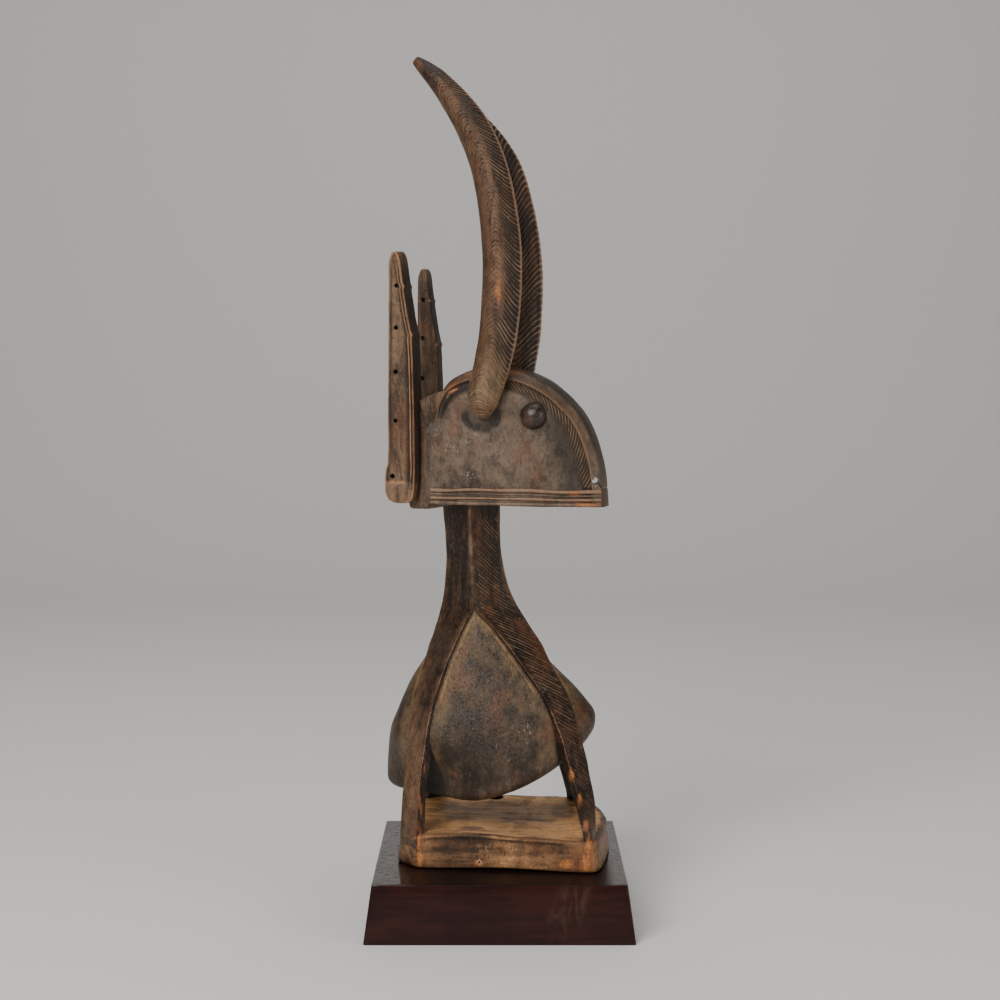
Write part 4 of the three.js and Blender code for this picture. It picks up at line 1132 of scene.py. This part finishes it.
def head(settings):
    """The head with its bands, eyes, mouth, ears and horns, as one solid."""
    made = head_skin(settings).make("head")
    bands = [jaw_skin(*band).make("band") for band in JAW_BANDS]
    eyes = [eye_skin(settings, side).make("eye") for side in (NEAR, FAR)]
    carve(made, "UNION", nape_skin().make("nape"), *bands, *eyes)
    x, z = head_point(*MOUTH_PLACE)
    reach = 3 * SNOUT_HALF
    near_side = float(HEAD_HALF(x)[0]) + 1.1 * MM
    ends = [(x - (way * reach + near_side) * math.tan(MOUTH_HOLE_SKEW), way * reach, z) for way in (-1, 1)]
    hole = bore_skin(MOUTH_HOLE_DIAMETER / 2, *ends, "head", on_neck, specks=4)
    down = np.array([math.cos(MOUTH_SLOPE), 0, -math.sin(MOUTH_SLOPE)])
    slit_rings = []
    for way in (0, MOUTH_SLIT_LENGTH):
        centre = np.array([x, 0, z]) + down * way
        side = np.array([-down[2], 0, down[0]]) * MOUTH_SLIT / 2
        across = np.array([0, reach, 0])
        near, far = centre - across, centre + across
        slit_rings.append([near - side, near + side, far + side, far - side])
    slit = Skin(np.array(slit_rings), "head", on_neck, hollow=1)
    carve(made, "DIFFERENCE", hole.make("hole"), slit.make("slit"))
    for side, length, width_share in ((NEAR, NEAR_EAR_LENGTH, 1), (FAR, FAR_EAR_LENGTH, FAR_EAR_SHARE)):
        ear = ear_skin(side, length, width_share).make("ear")
        rear = EAR_EDGES(np.array(EAR_HOLES))[:, 0] * NEAR_EAR_LENGTH + 5.4 * MM
        bores = []
        for place, share in zip(rear, EAR_HOLES):
            level = EAR_BOTTOM + share * length
            ends = [(place, side * EAR_OUTER_REACH * way, level) for way in (0.3, 1.3)]
            bores.append(bore_skin(EAR_HOLE_DIAMETER / 2, *ends, "ears", on_neck, 14, hollow=1).make("bore"))
        carve(ear, "DIFFERENCE", *bores)
        carve(made, "UNION", ear)
    return carve(made, "UNION", *[horn_skin(settings, side).make("horn") for side in (NEAR, FAR)])


def read(items, name, columns=3, kind=float):
    """What a mesh's vertices, normals, edges or values hold, as an array of one row each."""
    found = np.empty(len(items) * columns, kind)
    items.foreach_get(name, found)
    return found.reshape(-1, columns)


def marked(spots, places):
    """How far each spot lies inside one of the marked places, from 0 to 1: a bell over the distance
    across and the distance up, each as a share of the mark's own half size."""
    found = np.zeros(len(spots))
    for x, y, z, wide, high in places:
        across = np.hypot(spots[:, 0] - x, spots[:, 1] - y)
        found = np.maximum(found, bell(across, 0, wide) * bell(spots[:, 2], z, high))
    return found


def finish_values(mesh):
    """Gives the vertices that the cuts added the mean of their neighbours' values, and adds what the
    form itself says: convex places are more worn, and concave ones darker. Then come the marks."""
    edges = read(mesh.edges, "vertices", 2, np.int32)
    here, there = np.concatenate([edges, edges[:, ::-1]]).T
    count = len(mesh.vertices)
    degree = np.maximum(np.bincount(here, minlength=count), 1)

    def around(value):
        """For each vertex the mean of what its edges hold."""
        return np.bincount(here, value, count) / degree

    values = {name: read(mesh.attributes[name].data, "value", 1)[:, 0] for name in ATTRIBUTES}
    known = values.pop("made") > 0.5
    for _ in range(SPREAD_ROUNDS):
        weight = around(known[there])
        for value in values.values():
            mean = around((value * known)[there]) / np.maximum(weight, 1e-6)
            value[~known] = mean[~known]
        known = known | (weight > 0)
    points = read(mesh.vertices, "co")
    way = points[there] - points[here]
    rise = (way * read(mesh.vertex_normals, "vector")[here]).sum(1)
    bend = around(rise / np.maximum(np.linalg.norm(way, axis=1), 1e-9))
    bend = mix(bend, around(bend[there]), 0.5)
    arris = np.clip(-bend - 0.1, 0, 0.6)
    values["wear"] = np.clip(values["wear"] + 1.9 * arris, 0, 1)
    values["hollow"] = np.clip(values["hollow"] + 1.6 * np.clip(bend - 0.05, 0, 0.6) - 1.5 * arris, 0, 1)
    spots = off_seat(points) / MM
    values["glow"] = marked(spots, BARE_PLACES)
    values["specks"] = np.maximum(values["specks"], marked(spots, DUSTY_PLACES))
    for name, value in values.items():
        mesh.attributes[name].data.foreach_set("value", value.astype(np.float32))


def hand_waves(mesh, settings):
    """Moves every point along its normal by soft waves, as a hand-held blade leaves them. The
    underside stays flat."""
    points = read(mesh.vertices, "co")
    waves = 0.6 * ripple(points, LONG_WAVE, 0.4) + 0.4 * ripple(points, SHORT_WAVE, 2.2)
    free = smooth(points[:, 2], PLINTH_HEIGHT + 2 * MM, PLINTH_HEIGHT + 6 * MM)
    free = free * (1 - smooth(points[:, 2], cad_box[1][2] - 12 * MM, cad_box[1][2] - 4 * MM))
    points += read(mesh.vertex_normals, "vector") * (settings.wave_depth * waves * free)[:, None]
    mesh.vertices.foreach_set("co", points.ravel())
    mesh.update()


def plinth_skin():
    """The plinth: square rings with small round corners, wider at the foot than at the top, its
    upper and lower edges softly broken. A quarter of the square is an arc and a side, written as
    complex numbers, and the rest is that quarter times the powers of i."""
    edge = PLINTH_EDGE
    angle = np.radians(np.linspace(0, 90, 5))
    foot = np.stack([edge * (1 - np.sin(angle)), edge * (1 - np.cos(angle))], -1)
    brow = np.stack([edge * (1 - np.cos(angle)), PLINTH_HEIGHT - edge * (1 - np.sin(angle))], -1)
    side = np.stack([np.zeros(6), np.linspace(edge, PLINTH_HEIGHT - edge, 8)[1:-1]], -1)
    inner = [[share * PLINTH_FOOT / 2, PLINTH_HEIGHT] for share in np.linspace(0.03, 0.9, 24)]
    profile = np.concatenate([[[0.9 * PLINTH_FOOT / 2, 0]], foot, side, brow, inner])
    corner = PLINTH_CORNER / (PLINTH_FOOT / 2)
    arc = (1 - corner) * (1 + 1j) + corner * np.exp(1j * angle)
    straight = np.linspace(1 - corner, corner - 1, 40)[1:-1] + 1j
    square = (np.concatenate([arc, straight])[None] * 1j ** np.arange(4)[:, None]).ravel()
    half = (PLINTH_FOOT - PLINTH_DRAW * profile[:, 1] / PLINTH_HEIGHT) / 2 - profile[:, 0]
    plan = np.stack([square.real, square.imag], -1)[None] * half[:, None, None]
    points = raised(plan, profile[:, 1][:, None])
    x, y, z = np.moveaxis(points, -1, 0)
    slant = (x - 45 * MM - 0.45 * (z - 22 * MM)) / (13 * MM)
    specks = bell(slant, 0, 1) * bell(z, 24 * MM, 16 * MM) * (y < -0.45 * PLINTH_FOOT)
    top = smooth(z, PLINTH_HEIGHT - 1 * MM, PLINTH_HEIGHT)
    middle = SEAT[0] + 4 * MM
    beside = smooth(np.abs(x - middle), PLATE_LENGTH / 2 - 6 * MM, PLATE_LENGTH / 2 + 3 * MM)
    # A painted shadow: the top darkens in front of the foot plate
    shadow = top * (1 - beside) * (1 - smooth(y, -30 * MM, -10 * MM))
    return Skin(points, "trunk", lambda points: points, specks=specks, dust_and_sheen=top, hollow=shadow)


class Value:
    """The output of a node. Arithmetic on it adds Math nodes to its shader."""

    def __init__(self, shader, socket):
        self.shader = shader
        self.socket = socket

    def math(self, operation, first, second=None):
        """A Math node over one or two values."""
        sockets = {0: first} if second is None else {0: first, 1: second}
        return self.shader.node("ShaderNodeMath", {"operation": operation}, sockets)

    def __add__(self, other):
        return self.math("ADD", self, other)

    def __radd__(self, other):
        return self.math("ADD", other, self)

    def __sub__(self, other):
        return self.math("SUBTRACT", self, other)

    def __rsub__(self, other):
        return self.math("SUBTRACT", other, self)

    def __mul__(self, other):
        return self.math("MULTIPLY", self, other)

    def __rmul__(self, other):
        return self.math("MULTIPLY", other, self)

    def above(self, low, high):
        """A smooth step from 0 at low to 1 at high, which may lie below it."""
        sockets = {"Value": self, "From Min": low, "From Max": high}
        return self.shader.node("ShaderNodeMapRange", {"interpolation_type": "SMOOTHSTEP"}, sockets)


class Shader:
    """A material's node tree, with a method that adds any node."""

    def __init__(self, name):
        self.material = bpy.data.materials.get(name) or bpy.data.materials.new(name)
        self.material.use_nodes = True
        self.tree = self.material.node_tree
        self.tree.nodes.clear()
        self.place = self.node("ShaderNodeTexCoord", output="Object")

    def node(self, kind, settings=None, sockets=None, output=0):
        """Adds a node of any type: its settings first, then its sockets' values or links."""
        made = self.tree.nodes.new(kind)
        for name, setting in (settings or {}).items():
            setattr(made, name, setting)
        for name, value in (sockets or {}).items():
            if isinstance(value, Value):
                self.tree.links.new(value.socket, made.inputs[name])
            else:
                made.inputs[name].default_value = value
        return Value(self, made.outputs[output]) if len(made.outputs) else None

    def attribute(self, name):
        """A value that the points of the mesh carry."""
        return self.node("ShaderNodeAttribute", {"attribute_name": name}, output="Fac")

    def noise(self, scale, stretch=(1, 1, 1), detail=4, roughness=0.55, turn=(0, 0, 0), warp=0):
        """Noise over the object's place, stretched and turned."""
        place = self.node(
            "ShaderNodeMapping", {"vector_type": "POINT"},
            {"Vector": self.place, "Scale": stretch, "Rotation": turn},
        )
        return self.node(
            "ShaderNodeTexNoise", None,
            {"Vector": place, "Scale": scale, "Detail": detail, "Roughness": roughness, "Distortion": warp},
        )

    def mixed(self, factor, first, second):
        """Two colours mixed by a factor. Those that aren't nodes get full alpha."""
        first, second = (tone if isinstance(tone, Value) else (*tone, 1.0) for tone in (first, second))
        settings = {"data_type": "RGBA", "clamp_factor": True}
        return self.node("ShaderNodeMix", settings, {0: factor, 6: first, 7: second}, 2)

    def finish(self, colour, roughness, height, distance, coat=0.0, shine=0.4, gloss=1.35):
        """The surface: a bump of that height, under a coat where one is given."""
        bump = self.node("ShaderNodeBump", None, {"Height": height, "Distance": distance, "Strength": 1.0})
        surface = self.node("ShaderNodeBsdfPrincipled", None, {
            "Base Color": colour, "Roughness": roughness, "Normal": bump, "Coat Weight": coat,
            "Coat Roughness": 0.12, "Coat IOR": gloss, "Specular IOR Level": shine,
        })
        self.node("ShaderNodeOutputMaterial", None, {"Surface": surface})
        return self.material


# The wood of each part: its dark, middle, pale and bare tones, how its grain is stretched, how much
# of its tone runs in streaks, how much of it is dry and pale, its roughness and its shine, how
# strong its pale dashes, its bared places and its grain lines are, how rough its relief is, and how
# bright its strokes are. Where a part gives no value, the plain one holds.
PLAIN_WOOD = {"lines": 0.2, "relief": 0.8, "bright": 0.7}
WOODS = {
    "trunk": {
        "tones": ((0.011, 0.005, 0.0025), (0.042, 0.02, 0.0095), (0.19, 0.105, 0.058), (0.33, 0.19, 0.125)),
        "stretch": (1, 1, 0.09), "streaks": 0.8, "dry": 0.1, "rough": 0.36, "shine": 0.28,
        "dashes": 0.2, "bared": 0.9,
    },
    "body": {
        "tones": ((0.024, 0.014, 0.008), (0.075, 0.046, 0.027), (0.15, 0.096, 0.047), (0.34, 0.18, 0.07)),
        "stretch": (1, 1, 0.3), "streaks": 0.35, "dry": 0.25, "rough": 0.4, "shine": 0.32,
        "dashes": 0.16, "bared": 0.8,
    },
    # The plate's pale tone is bright because it also paints the light on the plate's top
    "plate": {
        "tones": ((0.055, 0.026, 0.013), (0.24, 0.12, 0.055), (0.86, 0.45, 0.18), (0.45, 0.19, 0.07)),
        "stretch": (0.08, 1, 1), "streaks": 0.7, "dry": 0.08, "rough": 0.44, "shine": 0.3,
        "dashes": 0.3, "bared": 1, "lines": 0.3,
    },
    "head": {
        "tones": ((0.052, 0.035, 0.023), (0.155, 0.107, 0.073), (0.2, 0.14, 0.1), (0.3, 0.16, 0.085)),
        "stretch": (1, 1, 0.35), "streaks": 0.35, "dry": 0.35, "rough": 0.38, "shine": 0.38,
        "dashes": 0.25, "bared": 0.6,
    },
    "eyes": {
        "tones": ((0.01, 0.006, 0.004), (0.035, 0.022, 0.015), (0.05, 0.035, 0.03), (0.07, 0.045, 0.033)),
        "stretch": (1, 1, 0.8), "streaks": 0.5, "dry": 0.2, "rough": 0.27, "shine": 0.5,
        "dashes": 0.1, "bared": 0.5, "relief": 0.5,
    },
    "ears": {
        "tones": ((0.055, 0.03, 0.017), (0.19, 0.112, 0.062), (0.24, 0.155, 0.096), (0.42, 0.2, 0.09)),
        "stretch": (1, 1, 0.14), "streaks": 0.6, "dry": 0.35, "rough": 0.42, "shine": 0.34,
        "dashes": 0.35, "bared": 0.8, "lines": 0.35,
    },
    "horns": {
        "tones": ((0.03, 0.013, 0.007), (0.14, 0.068, 0.034), (0.32, 0.21, 0.125), (0.34, 0.18, 0.095)),
        "stretch": (1, 1, 0.16), "streaks": 0.7, "dry": 0.15, "rough": 0.34, "shine": 0.34,
        "dashes": 0.3, "bared": 0.5, "lines": 0.3, "relief": 0.9, "bright": 0.82,
    },
}


def carved_wood(settings, name):
    """Old handled wood. Grain, streaks and mottles mix a dark and a middle brown, with pale, rusty and
    sooty patches. The pale tone takes dusty places and also the painted sheen and painted light that
    some points carry. Worn places turn to the bare tone, knocked places orange, and dark places sooty,
    which is dirt in hollows and painted shade on shaded faces and beside the horns' strokes. Strokes
    show light at their bottom, and dusty specks lie here and there."""
    wood = {**PLAIN_WOOD, **WOODS[name]}
    dark, middle, pale, bare = wood["tones"]
    shader = Shader(name)
    turned_by = (0, 0, TRUNK_TURN)
    grain = shader.noise(260, wood["stretch"], 6, 0.62, turned_by, 0.4)
    streak = shader.noise(80, wood["stretch"], 3, 0.5, turned_by, 0.8)
    fine = shader.noise(720, (1, 1, 0.5), 4, 0.6)
    cloud = shader.noise(16, (1, 1, 0.7), 4, 0.6)
    stain = shader.noise(37, (1.2, 1, 0.8), 4, 0.6, (0.5, 0.2, 0))
    mottle = shader.noise(95, (1, 1, 0.8), 5, 0.65)
    speckle = shader.noise(620, (1, 1, 1), 3, 0.7)
    worn = shader.attribute("wear")
    hollow = shader.attribute("hollow")
    line = shader.attribute("line")
    way = shader.attribute("way")
    dust_and_sheen = shader.attribute("dust_and_sheen")

    streaky = grain * 0.5 + streak * 0.5
    cloudy = mottle * 0.55 + cloud * 0.45
    tone = streaky * wood["streaks"] + cloudy * (1 - wood["streaks"])
    colour = shader.mixed(tone.above(0.42, 0.58), dark, middle)
    dried = (cloud * 0.6 + mottle * 0.4).above(0.47, 0.6) * wood["dry"]
    # The pale mix takes dry, dusty places and also the painted sheen beside the trunk's ridges and the
    # painted light on the foot plate's top
    pale_dust_and_sheen = (dust_and_sheen * 1.2 + (mottle - 0.5) * 1.1 + (streak - 0.5) * 0.8).above(0.05, 0.95)
    colour = shader.mixed(dried + pale_dust_and_sheen * 0.85, colour, pale)
    colour = shader.mixed(stain.above(0.53, 0.66) * 0.4, colour, settings.rust)
    colour = shader.mixed(stain.above(0.45, 0.33) * 0.5, colour, settings.soot_and_shade)
    colour = shader.mixed(grain.above(0.49, 0.4) * wood["lines"], colour, dark)
    colour = shader.mixed(fine.above(0.56, 0.68) * wood["dashes"], colour, settings.dusty)
    colour = shader.mixed(fine.above(0.45, 0.32) * 0.7, colour, dark)

    rubbed = worn * 1.25 + (mottle - 0.5) * 1.2 + (grain - 0.5) * 0.6 - 0.25
    colour = shader.mixed(rubbed.above(0.05, 0.85) * 0.85, colour, bare)
    torn = (mottle - 0.5) * 1.5 + (grain - 0.5) * 1.5 + (fine - 0.5) * 1.2
    knocked = shader.attribute("glow") * 1.3 + torn - 0.3
    colour = shader.mixed(knocked.above(-0.15, 0.55) * 0.8 * wood["bared"], colour, settings.rust)
    colour = shader.mixed(knocked.above(0.15, 0.9) * wood["bared"], colour, settings.orange)

    # Dark places turn sooty: dirt in hollows, and painted shade on shaded faces and beside the horns'
    # strokes
    soot_and_shade = (hollow * 0.95 + (mottle - 0.5) * 0.5).above(0.12, 0.95)
    colour = shader.mixed(soot_and_shade * 0.88, colour, settings.soot_and_shade)

    phase = way - way.math("FLOOR", way)
    broken = (grain * 0.5 + mottle * 0.5).above(0.36, 0.52)
    stroke = phase.math("ABSOLUTE", phase - 0.5).above(0.24, 0.1) * shader.attribute("hatch")
    stroke = stroke * broken
    colour = shader.mixed(stroke * 0.55, colour, settings.tan)
    cut = line.above(0.5, 1.0) * (broken * 0.75 + 0.25)
    light = shader.mixed(stain.above(0.42, 0.6), settings.strokes, settings.tan)
    colour = shader.mixed(cut * wood["bright"], colour, light)

    specks = (speckle * 0.6 + fine * 0.4 + shader.attribute("specks") * 0.1).above(0.63, 0.7)
    colour = shader.mixed(specks * 0.6, colour, settings.specks)

    pits = speckle.above(0.3, 0.42)
    height = grain * 0.5 + fine * 0.7 + mottle * 0.5 + pits * 0.3 - stroke * 1.2
    roughness = wood["rough"] - rubbed.above(0.0, 1.0) * 0.12 + (mottle - 0.5) * 0.4 + soot_and_shade * 0.15
    return shader.finish(colour, roughness, height, wood["relief"] * MM, 0.0, wood["shine"])


def stained_wood(settings):
    """Plain dark stained wood under a thin varnish, duller on its sides, with a painted shadow on its top
    in front of the foot plate, where the varnish is duller too, with faint grain and a few pale wisps."""
    shader = Shader("plinth_stain")
    grain = shader.noise(140, (0.12, 1, 1), 6, 0.6, (0, 0, 0), 0.3)
    pores = shader.noise(900, (0.2, 1, 1), 3, 0.6)
    cloud = shader.noise(12, (1, 1, 1), 3, 0.6)
    scuff = shader.noise(90, (1, 1, 0.16), 4, 0.65, (0, -0.55, 0), 0.6)
    shadowed = shader.attribute("hollow")
    lighter = np.array(settings.plinth) * (1.9, 1.75, 1.6)
    colour = shader.mixed((grain * 0.6 + cloud * 0.4).above(0.42, 0.6), settings.plinth, lighter)
    marks = scuff.above(0.47, 0.72) * shader.attribute("specks")
    colour = shader.mixed(marks * 0.3, colour, settings.dusty)
    colour = shader.mixed(pores.above(0.56, 0.7) * 0.12, colour, lighter)
    # The painted shadow in front of the foot plate
    colour = shader.mixed(shadowed * 0.8, colour, settings.soot_and_shade)
    height = grain * 0.5 + pores * 0.6
    roughness = 0.4 + (grain - 0.5) * 0.15 + marks * 0.3
    top = shader.attribute("dust_and_sheen")
    coat = top * 0.8 + 0.2 - shadowed * 0.95 - pores.above(0.5, 0.6) * top * 0.6
    return shader.finish(colour, roughness, height, 0.05 * MM, coat, 0.1, 1.6)


def tint(name, default, description):
    """A colour property."""
    return bpy.props.FloatVectorProperty(
        name=name, description=description, default=default, subtype="COLOR", size=3, min=0, max=1
    )


def length(name, default, description):
    """A length property, in metres."""
    return bpy.props.FloatProperty(
        name=name, description=description, default=default, min=0, subtype="DISTANCE", unit="LENGTH"
    )


def power(name, default, description):
    """A light's power, in watts."""
    return bpy.props.FloatProperty(
        name=name, description=description, default=default, min=0, subtype="POWER"
    )


class CarvingSettings(bpy.types.PropertyGroup):
    """Sizes of the carving's fine relief and colours of its wood."""

    stroke_pitch: length("Stroke Pitch", 2.95 * MM, "Distance between the strokes on neck and legs")
    stroke_depth: length("Stroke Depth", 0.5 * MM, "Depth of the strokes on neck and legs")
    horn_stroke_pitch: length("Horn Stroke Pitch", 3.1 * MM, "Distance between the strokes on the horns")
    horn_stroke_depth: length("Horn Stroke Depth", 0.75 * MM, "Depth of the strokes on the horns")
    head_stroke_pitch: length("Head Stroke Pitch", 2 * MM, "Distance between the strokes inside the rim")
    eye_diameter: length("Eye Diameter", 18.3 * MM, "Width of an eye")
    grain_depth: length("Grain Depth", 0.28 * MM, "Height of the raised grain on the foot plate")
    wave_depth: length("Wave Depth", 0.35 * MM, "Height of the blade's soft waves")
    tan: tint("Tan Strokes", (0.36, 0.2, 0.095), "Light strokes in dark wood")
    strokes: tint("Pale Strokes", (0.46, 0.33, 0.21), "The lightest strokes on neck and horns")
    orange: tint("Bare Orange", (0.5, 0.19, 0.06), "Wood bared by knocks and hands")
    rust: tint("Rust", (0.15, 0.052, 0.022), "Warm patches")
    # This dark tone is sooty dirt in hollows and strokes, and also the colour of painted shade and of the
    # painted shadow on the plinth
    soot_and_shade: tint("Soot", (0.008, 0.005, 0.004), "Dirt in hollows and strokes")
    dusty: tint("Dust", (0.26, 0.18, 0.12), "Pale dust in strokes and scratches")
    specks: tint("Specks", (0.42, 0.36, 0.29), "White specks of dry dirt")
    plinth: tint("Plinth Stain", (0.017, 0.0045, 0.0035), "Stain of the plinth")


class StageSettings(bpy.types.PropertyGroup):
    """The studio's lights."""

    key_power: power("Key Light", 45, "Power of the main light")
    fill_power: power("Fill Light", 14, "Power of the fill light")
    top_power: power("Top Light", 21, "Power of the light from above")


class CHIWARA_OT_carve_headdress(bpy.types.Operator):
    """Carve the headdress from one block of wood"""

    bl_idname = "chiwara.carve_headdress"
    bl_label = "Carve Headdress"

    def execute(self, context):
        settings = context.scene.chiwara_carving
        made = trunk(settings)
        bore_y = PLATE_WIDTH / 2 - TIE_HOLE_INSET
        ends = [(-TIE_HOLE_BEHIND_MIDDLE, bore_y, z) for z in (-PLATE_THICKNESS, 2 * PLATE_THICKNESS)]
        tie_hole = bore_skin(TIE_HOLE_DIAMETER / 2, *ends, "plate", on_seat, 28, hollow=1)
        side_pit = bore_skin(PIT_DIAMETER / 2, *SIDE_PIT, "body", on_seat, 12, hollow=1)
        foot_pit = bore_skin(PIT_DIAMETER / 3, *FOOT_PIT, "plate", on_seat, 12, specks=4)
        carve(made, "UNION", body_skin().make("body"))
        carve(made, "UNION", plate_skin(settings).make("plate"))
        bores = [bore.make("bore") for bore in (tie_hole, side_pit, foot_pit)]
        carve(made, "DIFFERENCE", *bores)
        carve(made, "UNION", head(settings))
        mesh = made.data
        mesh.name = made.name = "carved_headdress"
        hand_waves(mesh, settings)
        finish_values(mesh)
        mesh.calc_loop_triangles()
        count = len(mesh.loop_triangles)
        if count > MOST_TRIANGLES:
            raise RuntimeError(f"the carving has {count} triangles, over {MOST_TRIANGLES}")
        smoothed(mesh, 50)
        for part in PARTS:
            carved_wood(settings, part)
        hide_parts("headdress")
        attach(made, "root")
        print("carved_headdress:", count, "triangles")
        return {"FINISHED"}


class CHIWARA_OT_make_plinth(bpy.types.Operator):
    """Make the low square plinth"""

    bl_idname = "chiwara.make_plinth"
    bl_label = "Make Plinth"

    def execute(self, context):
        made = plinth_skin().make("stained_plinth")
        mesh = made.data
        mesh.materials.clear()
        mesh.materials.append(stained_wood(context.scene.chiwara_carving))
        mesh.polygons.foreach_set("material_index", np.zeros(len(mesh.polygons), np.int32))
        smoothed(mesh, 40)
        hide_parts("plinth")
        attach(made, "root")
        return {"FINISHED"}


def area_light(name, place, size, power):
    """A slightly warm square light that faces the lights' aim."""
    light = bpy.data.lights.new(name, "AREA")
    light.shape = "SQUARE"
    light.size = size
    light.energy = power
    light.color = LIGHT_COLOUR
    made = placed(name, light)
    made.location = place
    way = np.array(LIGHTS_AIM) - np.array(place)
    made.rotation_euler = (
        math.acos(-way[2] / np.linalg.norm(way)), 0, math.atan2(way[1], way[0]) - math.pi / 2
    )


class CHIWARA_OT_set_stage(bpy.types.Operator):
    """Set the camera, the pale floor and the soft lights"""

    bl_idname = "chiwara.set_stage"
    bl_label = "Set Stage"

    def execute(self, context):
        settings = context.scene.chiwara_stage
        camera = bpy.data.cameras.new("camera")
        camera.sensor_width = CAMERA_SENSOR
        camera.lens = CAMERA_LENS
        seen = placed("camera", camera)
        seen.location = CAMERA_PLACE
        seen.rotation_euler = (CAMERA_PITCH, 0, 0)
        context.scene.camera = seen

        way = np.linspace(-FLOOR_REACH, FLOOR_REACH + 1.2, 60)
        turn = np.clip((way - FLOOR_BEND) / FLOOR_BEND_RADIUS, 0, math.pi / 2)
        past = np.maximum(way - FLOOR_BEND - FLOOR_BEND_RADIUS * math.pi / 2, 0)
        y = np.where(way < FLOOR_BEND, way, FLOOR_BEND + FLOOR_BEND_RADIUS * np.sin(turn))
        z = FLOOR_BEND_RADIUS * (1 - np.cos(turn)) + past
        x = np.linspace(-FLOOR_REACH, FLOOR_REACH, 12)
        points = stack(x[None, :], y[:, None], z[:, None])
        index = np.arange(points.shape[0] * points.shape[1]).reshape(points.shape[:2])
        faces = np.stack([index[:-1, :-1], index[:-1, 1:], index[1:, 1:], index[1:, :-1]], -1)
        mesh = bpy.data.meshes.new("floor")
        mesh.from_pydata(points.reshape(-1, 3).tolist(), [], faces.reshape(-1, 4).tolist())
        smoothed(mesh)
        floor = placed("floor", mesh)
        shader = Shader("pale_floor")
        shader.finish((0.8, 0.8, 0.8, 1), 0.7, shader.noise(40), 0.00002)
        mesh.materials.append(shader.material)

        area_light("key", (-0.95, -1.7, 1.45), 1.2, settings.key_power)
        area_light("fill", (1.7, -1.2, 0.7), 1.3, settings.fill_power)
        area_light("top", (0.0, 0.3, 2.5), 1.4, settings.top_power)
        world = bpy.data.worlds.new("studio")
        world.use_nodes = True
        background = world.node_tree.nodes["Background"].inputs
        background["Color"].default_value = ROOM_COLOUR
        background["Strength"].default_value = ROOM_STRENGTH
        context.scene.world = world
        return {"FINISHED"}


class CHIWARA_PT_panel(bpy.types.Panel):
    """Lists the steps that build the headdress"""

    bl_idname = "CHIWARA_PT_panel"
    bl_label = "Chiwara Headdress"
    bl_space_type = "VIEW_3D"
    bl_region_type = "UI"
    bl_category = "Chiwara"

    def draw(self, context):
        layout = self.layout
        for step in STEPS:
            layout.operator(step.bl_idname)
        for group in (context.scene.chiwara_carving, context.scene.chiwara_stage):
            for name in group.__annotations__:
                layout.prop(group, name)


STEPS = (CHIWARA_OT_set_stage, CHIWARA_OT_make_plinth, CHIWARA_OT_carve_headdress)
CLASSES = (CarvingSettings, StageSettings, *STEPS, CHIWARA_PT_panel)


def register():
    """Adds the classes and the scene's settings."""
    for kind in CLASSES:
        bpy.utils.register_class(kind)
    bpy.types.Scene.chiwara_carving = bpy.props.PointerProperty(type=CarvingSettings)
    bpy.types.Scene.chiwara_stage = bpy.props.PointerProperty(type=StageSettings)


def unregister():
    """Removes them again."""
    del bpy.types.Scene.chiwara_stage
    del bpy.types.Scene.chiwara_carving
    for kind in reversed(CLASSES):
        bpy.utils.unregister_class(kind)


def main():
    """Builds everything."""
    register()
    bpy.ops.chiwara.set_stage()
    bpy.ops.chiwara.make_plinth()
    bpy.ops.chiwara.carve_headdress()


if __name__ == "__main__":
    main()
